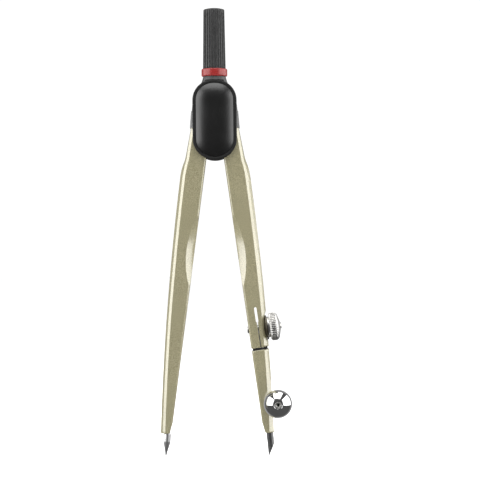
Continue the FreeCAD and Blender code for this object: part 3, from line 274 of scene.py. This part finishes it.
HEAD_GREY = moulding("head_grey", grey(0.17), grey(0.21), (0.42, 0.55), 0.14, 0.005)
STEEL = metal("steel", grey(0.42), grey(0.52), (0.26, 0.38), (1, 1, 8))
POINT_STEEL = metal("point_steel", grey(0.72), grey(0.80), (0.36, 0.44), (1, 1, 8))
NICKEL = metal("nickel", (0.62, 0.61, 0.585), (0.70, 0.69, 0.665), (0.28, 0.36), (1, 1, 6))
# nickel darkened to a dark brown: painted shade for the clamp washer lying down in its seat
PAINTED_SHADE_NICKEL = metal("nickel_painted_shade", (0.10, 0.09, 0.07), (0.14, 0.125, 0.10), (0.35, 0.45), (1, 1, 6))
CHROME = metal("chrome", grey(0.74), grey(0.80), (0.03, 0.06), (1, 6, 1), 0.5, 0.0002)
BRASS = metal("brass", (0.62, 0.42, 0.16), (0.70, 0.50, 0.20), (0.22, 0.34), (1, 1, 1))
GRAPHITE = graphite()


# ---------------------------------------------------------------- mesh helpers


def fillet(corners, steps=4):
    """An open path through (a, b, radius) corners, each rounded by an arc of that radius."""
    path = []
    for index, (a, b, radius) in enumerate(corners):
        here = Vector((a, b))
        if not radius:
            path.append(here)
            continue
        before = Vector(corners[index - 1][:2]) - here
        after = Vector(corners[index + 1][:2]) - here
        half = before.angle(after) / 2
        reach = min(radius / math.tan(half), 0.48 * before.length, 0.48 * after.length)
        middle = (before.normalized() + after.normalized()).normalized()
        centre = here + middle * (reach / math.cos(half))
        start = here + before.normalized() * reach - centre
        turn = math.copysign(math.pi - 2 * half, before.y * after.x - before.x * after.y)
        for step in range(steps + 1):
            angle = turn * step / steps
            path.append(centre + Matrix.Rotation(angle, 2) @ start)
    return path


class Shell:
    """Points, faces and material numbers of one piece, in millimetres."""

    def __init__(self):
        self.points = []
        self.faces = []
        self.marks = []

    def ring(self, points):
        first = len(self.points)
        self.points.extend(Vector(point) for point in points)
        return list(range(first, len(self.points)))

    def bridge(self, lower, upper, marks=None):
        """Joins two rings; a ring of one point is a tip."""
        count = max(len(lower), len(upper))
        for column in range(count):
            following = (column + 1) % count
            corners = [
                lower[column % len(lower)],
                lower[following % len(lower)],
                upper[following % len(upper)],
                upper[column % len(upper)],
            ]
            self.faces.append(list(dict.fromkeys(corners)))
            self.marks.append(marks[column] if marks else 0)

    def cap(self, ring, mark=0):
        self.faces.append(list(ring))
        self.marks.append(mark)

    def stack(self, rings, marks=None, end_mark=0):
        """Joins rings of points in order and closes both ends; marks has a list for each band."""
        rings = [self.ring(points) for points in rings]
        self.cap(rings[0])
        for band, (lower, upper) in enumerate(zip(rings, rings[1:])):
            self.bridge(lower, upper, marks[band] if marks else None)
        self.cap(rings[-1], end_mark)
        return self

    def build(self, name, materials=()):
        """A mesh object whose normals point outward."""
        mesh = bpy.data.meshes.new(name)
        mesh.from_pydata([point * MM for point in self.points], [], self.faces)
        for material in materials:
            mesh.materials.append(material)
        mesh.polygons.foreach_set("material_index", self.marks)
        outward = bmesh.new()
        outward.from_mesh(mesh)
        bmesh.ops.recalc_face_normals(outward, faces=outward.faces)
        outward.to_mesh(mesh)
        outward.free()
        piece = bpy.data.objects.new(name, mesh)
        bpy.context.scene.collection.objects.link(piece)
        return piece


def finished(piece, body, slot, *nodes, sharp_from=38):
    """Smooth shading that keeps flats flat and real corners sharp, and the piece's place in the frame."""
    piece.data.shade_smooth()
    piece.data.set_sharp_from_angle(angle=math.radians(sharp_from))
    shading = piece.modifiers.new("flat_faces", "WEIGHTED_NORMAL")
    shading.keep_sharp = True
    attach(piece, body)
    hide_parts(*nodes)


def lathe(profile, placing, columns=96, shape=None):
    """Turns (along, radius) pairs round local Z. shape(along, radius, angle) may change the radius."""
    shell = Shell()
    rings = []
    for along, radius in profile:
        if radius < TINY:
            rings.append(shell.ring([placing @ Vector((0, 0, along))]))
            continue
        ring = []
        for column in range(columns):
            angle = 2 * math.pi * column / columns
            reach = shape(along, radius, angle) if shape else radius
            ring.append(placing @ Vector((reach * math.cos(angle), reach * math.sin(angle), along)))
        rings.append(shell.ring(ring))
    for lower, upper in zip(rings, rings[1:]):
        shell.bridge(lower, upper)
    for end in (rings[0], rings[-1]):
        if len(end) > 1:
            shell.cap(end)
    return shell


def turned(name, corners, placing, material, steps=4, columns=96, shape=None):
    return lathe(fillet(corners, steps), placing, columns, shape).build(name, [material])


def point_at(across, y, z):
    return Vector((HEAD_X + across, y, z))


def axis_frame(origin, direction):
    """A frame whose local Z runs along a direction."""
    return Matrix.Translation(origin) @ direction.to_track_quat("Z", "Y").to_matrix().to_4x4()


def carve(piece, cutters, added=()):
    """Joins the added pieces to a piece and takes the cutters out of it, for good."""
    changes = [(tool, "UNION") for tool in added] + [(tool, "DIFFERENCE") for tool in cutters]
    for tool, operation in changes:
        change = piece.modifiers.new("shape", "BOOLEAN")
        change.operation = operation
        change.solver = "EXACT"
        change.object = tool
    solid = piece.evaluated_get(bpy.context.evaluated_depsgraph_get())
    mesh = bpy.data.meshes.new_from_object(solid)
    piece.modifiers.clear()
    piece.data = mesh
    for tool, _ in changes:
        bpy.data.objects.remove(tool)
    return piece


def bar(name, placing, radius, low, high):
    """A plain round cutter."""
    return lathe([(low, radius), (high, radius)], placing, 64).build(name)


# ---------------------------------------------------------------- legs


def inner_edge(z):
    if z < FOOT_CUT_Z:
        start = inner_edge(FOOT_CUT_Z)
        return start + (FOOT_INNER - start) * (FOOT_CUT_Z - z) / (FOOT_CUT_Z - FOOT_Z)
    return INNER_START + INNER_SLOPE * (INNER_REF - z)


def on_round(centre, radius, z):
    return centre.x + math.sqrt(radius**2 - (z - centre.y) ** 2)


def lean_point(lean):
    return Vector((math.cos(lean), math.sin(lean)))


CHORD = Vector((FOOT_OUTER - SHOULDER_X, SHOULDER_Z - FOOT_Z))
CHORD_LEAN = math.atan2(CHORD.x, CHORD.y)
TOP_LEAN = CHORD_LEAN + math.asin(CHORD.length / 2 / LONG_R)
LONG_CENTRE = Vector((SHOULDER_X, SHOULDER_Z)) - LONG_R * lean_point(TOP_LEAN)
FLARE_CENTRE = Vector((SHOULDER_X, SHOULDER_Z)) - FLARE_R * lean_point(TOP_LEAN)
FLARE_END = FLARE_CENTRE + FLARE_R * lean_point(FLARE_LEAN)
HOLLOW_CENTRE = FLARE_END + HOLLOW_R * lean_point(FLARE_LEAN)
HOLLOW_END = HOLLOW_CENTRE - HOLLOW_R * lean_point(WAIST_LEAN)


def outer_edge(z):
    if z <= SHOULDER_Z:
        return on_round(LONG_CENTRE, LONG_R, z)
    if z <= FLARE_END.y:
        return on_round(FLARE_CENTRE, FLARE_R, z)
    if z <= HOLLOW_END.y:
        return HOLLOW_CENTRE.x - math.sqrt(HOLLOW_R**2 - (z - HOLLOW_CENTRE.y) ** 2)
    return HOLLOW_END.x - math.tan(WAIST_LEAN) * (z - HOLLOW_END.y)


def half_thickness(z):
    return THICK_HALF - (THICK_HALF - FOOT_HALF) * max(0.0, TAPER_Z - z) / (TAPER_Z - FOOT_Z)


def scoop_half(across, z):
    """Half thickness that the scoop leaves at a point."""
    beyond = max(0.0, math.hypot(across - SCOOP_ACROSS, z - SCOOP_Z) - SCOOP_RING)
    if beyond >= SCOOP_TUBE:
        return SCOOP_CENTRE_Y
    return SCOOP_CENTRE_Y - math.sqrt(SCOOP_TUBE**2 - beyond**2)


def scoop_rim(z):
    """Across where the scoop meets the leg's face, or None above and below it."""
    level = SCOOP_CENTRE_Y - half_thickness(z)
    reach = SCOOP_RING + math.sqrt(SCOOP_TUBE**2 - level**2)
    squared = reach**2 - (z - SCOOP_Z) ** 2
    rim = SCOOP_ACROSS + math.sqrt(max(0.0, squared))
    return rim if rim > inner_edge(z) else None


def strip_width(z):
    """Width of the steep strip outside the bevel, which widens below the shoulder."""
    for (high, upper), (low, lower) in zip(STRIP_WIDTHS, STRIP_WIDTHS[1:]):
        if z >= low:
            return lower + (upper - lower) * (z - low) / (high - low)


def section(z_in, z_out, shrink, scooped):
    """Half of a leg's section as (across, y, z) from the inner edge to the outer edge, y at or under 0."""
    left, right = inner_edge(z_in) + shrink, outer_edge(z_out) - shrink
    half = half_thickness((z_in + z_out) / 2) - shrink
    rim = scoop_rim(z_in) if scooped else None

    def face(across):
        plain = min(half, half - INNER_BEVEL + across - left)
        return min(plain, scoop_half(across, z_in)) if rim else plain

    path = [(left, 0), (left, face(left) - INNER_DROP)]
    path += [(left + step, face(left + step)) for step in INNER_STEPS]
    start = left + INNER_STEPS[-1]
    last = max(rim or 0, start + SCOOP_COLUMN_GAP * SCOOP_COLUMNS)
    for column in range(1, SCOOP_COLUMNS + 1):
        across = start + (last - start) * column / SCOOP_COLUMNS
        path.append((across, face(across)))
    strip = strip_width((z_in + z_out) / 2)
    flat_end = right - BEVEL_WIDTH - strip
    for column in range(1, FLAT_COLUMNS):
        path.append((last + (flat_end - FLAT_MARGIN - last) * column / FLAT_COLUMNS, half))
    corners = [
        (flat_end - FLAT_LEAD, half, 0),
        (flat_end, half, FLAT_ROUND),
        (right - strip, half - BEVEL_DEPTH, BEVEL_ROUND),
        (right, STRIP_LOW, STRIP_ROUND),
        (right, 0, 0),
    ]
    path.extend((point.x, point.y) for point in fillet(corners, 3)[1:])
    rise = (z_out - z_in) / (right - left)
    return [(across, -y, z_in + rise * (across - left)) for across, y in path]


def levels(stops, step):
    """Heights from the first stop down to the last, no further apart than a step, each stop among them."""
    heights = [stops[0]]
    for start, end in zip(stops, stops[1:]):
        count = max(1, math.ceil((start - end) / step))
        heights.extend(start + (end - start) * (index + 1) / count for index in range(count))
    return heights


def leg_mesh(name, side, rows, scooped):
    """Joins the sections of a leg. rows are (inner height, outer height, shrink) from the top down."""
    rings, marks = [], []
    for z_in, z_out, shrink in rows:
        front = section(z_in, z_out, shrink, scooped)
        back = [(across, -y, z) for across, y, z in reversed(front[1:-1])]
        rings.append([point_at(side * across, y, z) for across, y, z in front + back])
        band = [0] * len(rings[-1])
        if scooped and scoop_rim(z_in):
            for column in range(1, INNER_COLUMNS + SCOOP_COLUMNS - 1):
                band[column] = 1
                band[-1 - column] = 1
        marks.append(band)
    return Shell().stack(rings, marks[1:]).build(name, [PAINT, WORN_PAINT])


UPPER_STOPS = [LEG_TOP, HOLLOW_END.y, FLARE_END.y, SHOULDER_Z, TAPER_Z, SCOOP_TOP, SCOOP_LOW]
FOOT_STOPS = [FOOT_CUT_Z, FOOT_Z + EDGE_ROUND + FOOT_MARGIN]


def plain_rows(stops):
    return [(z, z, 0.0) for z in levels(stops, ROW_STEP)]


def end_rows(z_in, z_out, going_down=True):
    """Rows that round the end of a leg over."""
    rows = []
    for angle in (0, 30, 60, 90):
        sink = EDGE_ROUND * (1 - math.sin(math.radians(angle)))
        shrink = EDGE_ROUND * (1 - math.cos(math.radians(angle)))
        lift = sink if going_down else -sink
        rows.append((z_in + lift, z_out + lift, shrink))
    return rows if going_down else rows[::-1]


def fan_rows(z_level, z_in, z_out):
    """Rows between a level one and a slanted one."""
    count = math.ceil(abs(z_level - z_in) / FAN_STEP)
    parts = [index / count for index in range(1, count)]
    return [(z_level + (z_in - z_level) * part, z_level + (z_out - z_level) * part, 0.0) for part in parts]


def needle_leg():
    rows = plain_rows(UPPER_STOPS + FOOT_STOPS) + end_rows(FOOT_Z, FOOT_Z)
    leg = leg_mesh("needle_leg_body", -1, rows, True)
    finished(leg, "needle_side", "leg_paint", "needle_leg", sharp_from=28)


def clamp_point(out, up, y=0.0):
    """A point given in the clamp's tilted frame."""
    sine, cosine = math.sin(CLAMP_TILT), math.cos(CLAMP_TILT)
    return point_at(CLAMP_ACROSS + out * cosine - up * sine, y, CLAMP_Z + out * sine + up * cosine)


CLAMP_OUT = clamp_point(1, 0) - clamp_point(0, 0)
CLAMP_UP = clamp_point(0, 1) - clamp_point(0, 0)
ALONG_SCREW = axis_frame(clamp_point(0, 0), CLAMP_OUT)
ALONG_SHANK = axis_frame(clamp_point(0, 0), CLAMP_UP)


def keyhole(grow):
    """The see-through slot and the slit under it, in the clamp's frame, opened by that much."""
    half, slit, low = SLOT_HALF + grow, SLIT_HALF + grow, SLOT_LOW - grow
    points = [(slit, SLIT_LOW), (slit, low), (half, low)]
    for step in range(17):
        angle = math.pi * step / 16
        points.append((half * math.cos(angle), SLOT_TOP + half * math.sin(angle)))
    return points + [(-half, low), (-slit, low), (-slit, SLIT_LOW)]


def slot_cutter():
    """Cuts the keyhole through the leg and breaks its edges on both faces."""
    face, flare = half_thickness(CLAMP_Z), CUTTER_REACH + SLOT_FLARE
    outside, inside = face + CUTTER_REACH, face - SLOT_FLARE
    levels_y = ((-outside, flare), (-inside, 0), (inside, 0), (outside, flare))
    rings = [[clamp_point(out, up, y) for out, up in keyhole(grow)] for y, grow in levels_y]
    return Shell().stack(rings).build("slot_cutter")


def seat_cutter():
    """The round hollow that the clamp washer sits in."""
    steps = [math.pi * step / 96 for step in range(97)]
    profile = [(SEAT_CENTRE - SEAT_R * math.cos(angle), SEAT_R * math.sin(angle)) for angle in steps]
    return lathe(profile, ALONG_SCREW, 192).build("seat_cutter")


def lead_leg():
    rows = plain_rows(UPPER_STOPS + [LEG_LEVEL])
    rows += fan_rows(LEG_LEVEL, SPLIT_IN_Z + EDGE_ROUND, SPLIT_OUT_Z + EDGE_ROUND)
    rows += end_rows(SPLIT_IN_Z, SPLIT_OUT_Z)
    leg = leg_mesh("lead_leg_body", 1, rows, True)
    cutters = [
        slot_cutter(),
        bar("socket_cutter", ALONG_SHANK, SOCKET_R, SOCKET_LOW, SOCKET_TOP),
        bar("hole_cutter", ALONG_SCREW, SCREW_HOLE_R, -HOLE_HALF, HOLE_HALF),
        seat_cutter(),
    ]
    finished(carve(leg, cutters), "lead_side", "leg_paint", "lead_leg", sharp_from=28)


ALONG_LEAD = Matrix.Translation(point_at(LEAD_ACROSS, 0, LEAD_Z)) @ Matrix.Rotation(-LEAD_TILT, 4, "Y")


def lead_slit():
    """Cuts the slit that lets the arm squeeze the lead, from the bore outward."""
    outline = [(0, BORE_LOW), (LEAD_SLIT_OUT, BORE_LOW), (LEAD_SLIT_OUT, LEAD_SLIT_HIGH), (0, LEAD_SLIT_HIGH)]
    rings = [[ALONG_LEAD @ Vector((out, y, up)) for out, up in outline] for y in (-SLIT_HALF, SLIT_HALF)]
    return Shell().stack(rings).build("slit_cutter")


def insert_arm():
    """The lower part of the lead leg, with the lug that the ball screw clamps."""
    rows = end_rows(INSERT_IN_Z, INSERT_OUT_Z, going_down=False)
    rows += fan_rows(ARM_LEVEL, INSERT_IN_Z - EDGE_ROUND, INSERT_OUT_Z - EDGE_ROUND)[::-1]
    rows += plain_rows([ARM_LEVEL] + FOOT_STOPS) + end_rows(FOOT_Z, FOOT_Z)
    arm = leg_mesh("insert_arm_body", 1, rows, False)
    lug_at = Matrix.Translation((BALL.middle.x, 0, BALL.middle.z)) @ Matrix.Rotation(math.radians(90), 4, "X")
    lug_profile = [(-LUG_HALF, 0, 0), (-LUG_HALF, LUG_R, 0.25), (LUG_HALF, LUG_R, 0.25), (LUG_HALF, 0, 0)]
    lug = turned("lug", lug_profile, lug_at, PAINT)
    bore = bar("bore_cutter", ALONG_LEAD, LEAD_BORE_R, BORE_LOW, BORE_HIGH)
    carve(arm, [bore, lead_slit()], [lug])
    finished(arm, "insert", "leg_paint", "insert_arm")


def needle_point():
    along = axis_frame(Vector((0, 0, 0)), Vector((math.sin(NEEDLE_TILT), 0, math.cos(NEEDLE_TILT))))
    corners = [
        (0, 0, 0),
        (0, NEEDLE_TIP_R, 0.03),
        (NEEDLE_CONE, NEEDLE_R, 0.4),
        (NEEDLE_SHOULDER, NEEDLE_R, 0),
        (NEEDLE_SHOULDER, NEEDLE_SHANK_R, 0),
        (NEEDLE_LENGTH, NEEDLE_SHANK_R, 0),
    ]
    needle = turned("needle_point_body", corners, along, POINT_STEEL, columns=64)
    finished(needle, "needle_side", "steel", "needle_point")


def lead():
    """A round lead whose outer side is sanded to a chisel."""
    chisel_top = CHISEL - LEAD_DOWN
    plain = [LEAD_UP - index for index in range(PLAIN_ROWS)]
    rings = []
    for up in plain + [chisel_top - index * CHISEL / CHISEL_ROWS for index in range(CHISEL_ROWS + 1)]:
        flat = LEAD_R - max(0.0, chisel_top - up) / CHISEL * (2 * LEAD_R - CHISEL_TIP)
        ring = []
        for column in range(72):
            angle = 2 * math.pi * column / 72
            out = min(LEAD_R * math.cos(angle), flat)
            ring.append(ALONG_LEAD @ Vector((out, LEAD_R * math.sin(angle), up)))
        rings.append(ring)
    body = Shell().stack(rings).build("lead_body", [GRAPHITE])
    finished(body, "lead", "graphite", "lead", sharp_from=25)


# ---------------------------------------------------------------- clamp and ball


def groove(count, radius):
    """Radius change of round grooves cut along a turned surface."""

    def sink(surface, angle):
        pitch = 2 * math.pi / count
        offset = ((angle + pitch / 2) % pitch - pitch / 2) * surface
        return math.sqrt(max(0.0, radius**2 - offset**2))

    return sink


def clamp_washer():
    """Round towards the leg and flat towards the knob."""
    ball_r = SEAT_R - SEAT_PLAY
    dome_r = WASHER_R - WASHER_CHAMFER
    reaches = [SCREW_HOLE_R + (dome_r - SCREW_HOLE_R) * step / 12 for step in range(13)]
    profile = [(SEAT_CENTRE - math.sqrt(ball_r**2 - reach**2), reach) for reach in reaches]
    dome_end = profile[-1][0]
    edge = [
        (dome_end, dome_r, 0),
        (dome_end + 0.1, WASHER_R, 0.05),
        (WASHER_END, WASHER_R, 0.1),
        (WASHER_END, SCREW_HOLE_R, 0),
    ]
    # the washer takes the darkened nickel, so its dark brown colour is painted shade, not the metal's own tone
    disc = lathe(profile + fillet(edge)[1:], ALONG_SCREW).build("clamp_washer_disc", [PAINTED_SHADE_NICKEL])
    finished(disc, "clamp_washer", "nickel", "clamp_washer")


def clamp_knob():
    """A knurled band with a rounded rim, a flange behind and a low cone in front."""
    band_start = KNOB_FOOT + FLANGE
    band_end = band_start + BAND
    face = band_end + KNOB_BEVEL
    cone_end = face + CONE
    sink = groove(KNURLS, KNURL_R)

    def knurl(along, radius, angle):
        run_out = min(1.0, max(0.0, (radius - KNOB_R + KNOB_BEVEL) / KNURL_FADE))
        return radius - run_out * sink(KNOB_R, angle)

    corners = [
        (KNOB_FOOT, SCREW_R, 0),
        (KNOB_FOOT, FLANGE_R, 0.1),
        (band_start, FLANGE_R, 0.06),
        (band_start, KNOB_R - BACK_DROP, 0.1),
        (band_start + BACK_RUN, KNOB_R, 0.5),
        (band_end - FACE_RUN, KNOB_R, 0.6),
        (face, KNOB_R - FACE_DROP, 0.4),
        (cone_end, CONE_R, 0.3),
        (cone_end, SCREW_R - 0.1, 0),
    ]
    knob = turned("clamp_knob_body", corners, ALONG_SCREW, NICKEL, columns=KNURLS * 10, shape=knurl)
    finished(knob, "clamp_knob", "nickel", "clamp_knob", sharp_from=60)


def clamp_screw():
    end = KNOB_FOOT + FLANGE + BAND + KNOB_BEVEL + CONE + NUB
    corners = [(SCREW_IN, 0, 0), (SCREW_IN, SCREW_R, 0.25), (end, SCREW_R, 0.45), (end, 0, 0)]
    screw = turned("clamp_screw_body", corners, ALONG_SCREW, NICKEL, columns=64)
    finished(screw, "clamp_knob", "nickel", "clamp_screw")


ALONG_BALL = axis_frame(Vector((BALL.middle.x, 0, BALL.middle.z)), Vector((0, -1, 0)))


def ball_knob():
    """A polished ball, flat behind and with a recess for the stud's end in front."""
    start = math.acos((BALL_SEAT - BALL_CENTRE) / BALL_R)
    end = math.asin(BALL_RECESS_R / BALL_R)
    profile = [(BALL_SEAT, BOLT_R + 0.05)]
    for step in range(49):
        angle = start + (end - start) * step / 48
        profile.append((BALL_CENTRE + BALL_R * math.cos(angle), BALL_R * math.sin(angle)))
    rim, rim_r = profile[-1]
    profile += [(rim - 0.03, rim_r - 0.06), (BALL_RECESS_Y, rim_r - 0.1), (BALL_RECESS_Y, BOLT_R + 0.02)]
    ball = lathe(profile, ALONG_BALL, 128).build("ball_knob_body", [CHROME])
    finished(ball, "ball_knob", "chrome", "ball_knob")


def ball_stud():
    """The stud through lug and ball, with a hollow front end and a round head behind."""
    back = -LUG_HALF
    corners = [
        (back - BOLT_HEAD, 0, 0),
        (back - BOLT_HEAD, BOLT_HEAD_R, 0.35),
        (back, BOLT_HEAD_R, 0.05),
        (back, BOLT_R, 0),
        (BOLT_FRONT, BOLT_R, 0.22),
        (BOLT_FRONT, BOLT_HOLLOW_R, 0.2),
        (BOLT_FRONT - BOLT_HOLLOW, BOLT_HOLLOW_R - 0.1, 0.05),
        (BOLT_FRONT - BOLT_HOLLOW, 0, 0),
    ]
    stud = turned("ball_stud_body", corners, ALONG_BALL, NICKEL, columns=72)
    finished(stud, "insert", "chrome", "ball_stud")


def ball_washer():
    start, end = BALL_WASHER_AT, BALL_WASHER_AT + BALL_WASHER_THICK
    hole = BOLT_R + BOLT_PLAY
    corners = [(start, hole, 0), (start, BALL_WASHER_R, 0.12), (end, BALL_WASHER_R, 0.12), (end, hole, 0)]
    finished(turned("ball_washer_disc", corners, ALONG_BALL, CHROME), "ball_washer", "chrome", "ball_washer")


# ---------------------------------------------------------------- handle and covers


ALONG_HEAD = Matrix.Translation((HEAD_X, 0, 0))


def handle_grip():
    """A slightly tapered grip with half round flutes that run out under the dome."""
    low, high = GRIP.low.z, GRIP.high.z
    edge = high - DOME
    sink = groove(FLUTES, FLUTE_R)

    def flute(along, radius, angle):
        if radius < GRIP_TOP_R - 0.5:
            return radius
        run_out = min(1.0, max(0.0, (edge + 0.1 - along) / FLUTE_FADE))
        return radius - sink(radius, angle) * math.sqrt(run_out)

    corners = [(low, STEM_R, 0), (low, GRIP_R, 0.08), (low + 0.4, GRIP_R - 0.005, 0)]
    for part in (0.25, 0.5, 0.75, 0.93):
        corners.append((low + part * (edge - low), GRIP_R - part * (GRIP_R - GRIP_TOP_R), 0))
    corners += [(edge, GRIP_TOP_R, 0.35), (high - 0.12, GRIP_TOP_R * 0.6, 0.8), (high, 0, 0)]
    grip = turned("handle_grip_body", corners, ALONG_HEAD, GRIP_BLACK, 5, FLUTES * 12, flute)
    finished(grip, "head", "grip_plastic", "handle_grip", sharp_from=50)


def collar_ring():
    low, high, radius = COLLAR.low.z, COLLAR.high.z, COLLAR.size.x / 2
    corners = [(low, STEM_R, 0), (low, radius, 0.35), (high, radius, 0.3), (high, STEM_R, 0)]
    ring = turned("collar_ring_body", corners, ALONG_HEAD, COLLAR_RED, 6, 128)
    finished(ring, "head", "collar_plastic", "collar_ring")


COVER_ENDS = ((COVER.low.z, BOTTOM_R, BOTTOM_CORNER, -1), (COVER.high.z, TOP_R, TOP_CORNER, 1))


def cover_ring(inset, y):
    """One ring of a cover: four corner arcs and two end arcs, all moved in by an inset."""

    def arc(across, z, radius, angles):
        reach = radius - inset
        return [(across + reach * math.cos(angle), z + reach * math.sin(angle)) for angle in angles]

    points = []
    for tip, tip_r, corner_r, up in COVER_ENDS:
        tip_z, corner_across = tip - up * tip_r, COVER_HALF - corner_r
        rise = up * math.sqrt((tip_r - corner_r) ** 2 - corner_across**2)
        meet = math.atan2(rise, corner_across)
        right = arc(corner_across, tip_z + rise, corner_r, [meet * step / 12 for step in range(13)])
        rest = up * math.pi / 2 - meet
        right += arc(0, tip_z, tip_r, [meet + rest * step / 10 for step in range(1, 11)])
        half = right + [(-across, z) for across, z in right[-2::-1]]
        points += half if up > 0 else half[::-1]
    return [point_at(across, y, z) for across, z in points]


def cover(name, side, node, dome):
    """A moulded cover: matt rim, then a raised glossy middle that rises over the width of its dome."""
    rows = [  # inset, y, material
        (0.35, COVER_IN, 0),
        (0.06, COVER_IN + 0.02, 0),
        (0.0, COVER_IN + 0.12, 0),
        (0.0, RIM_Y - 0.3, 0),
        (0.04, RIM_Y - 0.12, 0),
        (0.14, RIM_Y - 0.03, 0),
        (0.28, RIM_Y, 0),
        (RIM_WIDTH - 0.22, RIM_Y, 0),
        (RIM_WIDTH - 0.08, RIM_Y - 0.08, 0),
        (RIM_WIDTH, RIM_Y - 0.1, 1),
        (RIM_WIDTH + 0.05, RIM_Y + PILLOW_STEP * 0.6, 1),
    ]
    crown = PILLOW_Y - RIM_Y - PILLOW_STEP
    for step in range(PILLOW_ROWS + 1):
        part = step / PILLOW_ROWS
        height = RIM_Y + PILLOW_STEP + crown * (1 - (1 - part) ** 2)
        rows.append((RIM_WIDTH + PILLOW_INSET + dome * part, height, 1))
    rings = [cover_ring(inset, side * y) for inset, y, _ in rows]
    marks = [[mark] * len(rings[0]) for _, _, mark in rows[1:]]
    last = rings[-1]
    inner_r = COVER_HALF - rows[-1][0]
    core_low = min(point.z for point in last) + inner_r
    core_high = max(point.z for point in last) - inner_r
    for part in (0.35, 0.65, 0.9):
        cores = [Vector((HEAD_X, side * PILLOW_Y, min(max(point.z, core_low), core_high))) for point in last]
        rings.append([point.lerp(core, part) for point, core in zip(last, cores)])
        marks.append([1] * len(last))
    piece = Shell().stack(rings, marks, end_mark=1).build(name, [RIM_BLACK, PILLOW_BLACK])
    if side > 0:
        for turn in (-1, 1):
            spot = Vector((HEAD_X + turn * COVER_SCREW_ACROSS, COVER_SCREW_SEAT, COVER_SCREW_Z))
            carve(piece, [bar("counterbore", axis_frame(spot, Vector((0, 1, 0))), COUNTERBORE_R, 0, 4)])
    finished(piece, "head", "cover_plastic", node, sharp_from=42)


# ---------------------------------------------------------------- kept CAD nodes


def repaint():
    """Better materials on the CAD nodes whose shape is already right."""
    kept = (
        (NECK_GREY, ["neck_cone"]),
        (STEEL, ["fork_bracket", "fork_stem", "left_post", "right_post", "cover_screws", "hinge_washers"]),
        (STEEL, ["needle_leg_rivets", "lead_leg_rivets"]),
        (HEAD_GREY, ["needle_leg_gear", "lead_leg_gear"]),
        (BRASS, ["needle_leg_bush", "lead_leg_bush"]),
        (NICKEL, ["insert_shank"]),
        (RIM_BLACK, ["insert_spacer"]),
    )
    for material, nodes in kept:
        for node in nodes:
            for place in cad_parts[node].material_slots:
                place.material = material


# ---------------------------------------------------------------- studio


def softbox(name, place, width, height, radiance):
    """A rectangular light whose surface has a given brightness."""
    data = bpy.data.lights.new(name, "AREA")
    data.shape = "RECTANGLE"
    data.size, data.size_y = width * MM, height * MM
    data.energy = radiance * 4 * data.size * data.size_y
    light = bpy.data.objects.new(name, data)
    light.location = Vector(place) * MM
    light.rotation_mode = "QUATERNION"
    light.rotation_quaternion = (Vector(LIGHT_AIM) - Vector(place)).to_track_quat("-Z", "Y")
    light.visible_camera = False
    bpy.context.scene.collection.objects.link(light)


def studio_world():
    """Even white light all round; polished surfaces mirror a dim room, brighter behind the object."""
    world = bpy.data.worlds.new("studio")
    world.use_nodes = True
    tree = world.node_tree
    background = tree.nodes["Background"]
    background.inputs["Strength"].default_value = ROOM_LIGHT
    direction = tree.nodes.new("ShaderNodeTexCoord").outputs["Generated"]
    split = tree.nodes.new("ShaderNodeSeparateXYZ")
    spread = tree.nodes.new("ShaderNodeMapRange")
    for socket, value in (("From Min", BRIGHT_FROM), ("To Min", DIM_SIDE), ("To Max", BRIGHT_SIDE)):
        spread.inputs[socket].default_value = value
    mirrored = tree.nodes.new("ShaderNodeLightPath").outputs["Is Glossy Ray"]
    shade = tree.nodes.new("ShaderNodeMix")
    shade.inputs["A"].default_value = 1.0
    tree.links.new(direction, split.inputs["Vector"])
    tree.links.new(split.outputs["Y"], spread.inputs["Value"])
    tree.links.new(mirrored, shade.inputs["Factor"])
    tree.links.new(spread.outputs["Result"], shade.inputs["B"])
    tree.links.new(shade.outputs["Result"], background.inputs["Color"])
    bpy.context.scene.world = world


def floor():
    """A plain pale floor, low enough for the lead when it is drawn out."""
    shell = Shell()
    corners = [(-1, -1), (1, -1), (1, 1), (-1, 1)]
    shell.cap(shell.ring([(x * FLOOR_HALF, y * FLOOR_HALF, FLOOR_Z) for x, y in corners]))
    finish = Finish("floor_white", Roughness=1.0, Specular_IOR_Level=0.0)
    finish.tint(finish.noise(40, 2.0), (0.3, grey(0.95)), (0.7, grey(0.965)))
    plane = shell.build("studio_floor", [finish.material])
    plane.visible_glossy = False


def camera():
    data = bpy.data.cameras.new("front_view")
    data.sensor_width = SENSOR_MM
    data.lens = LENS_MM
    view = bpy.data.objects.new("front_view", data)
    view.location = point_at(CAMERA_ACROSS, CAMERA_Y, CAMERA_Z) * MM
    view.rotation_euler = (math.radians(90), CAMERA_ROLL, 0)
    bpy.context.scene.collection.objects.link(view)
    bpy.context.scene.camera = view


def studio():
    studio_world()
    floor()
    for box in SOFTBOXES:
        softbox(*box)
    camera()
    bpy.context.scene.view_settings.view_transform = "Standard"


needle_leg()
lead_leg()
insert_arm()
needle_point()
lead()
clamp_washer()
clamp_knob()
clamp_screw()
ball_knob()
ball_stud()
ball_washer()
handle_grip()
collar_ring()
cover("front_cover_body", -1, "front_cover", FRONT_DOME)
cover("rear_cover_body", 1, "rear_cover", REAR_DOME)
repaint()
studio()
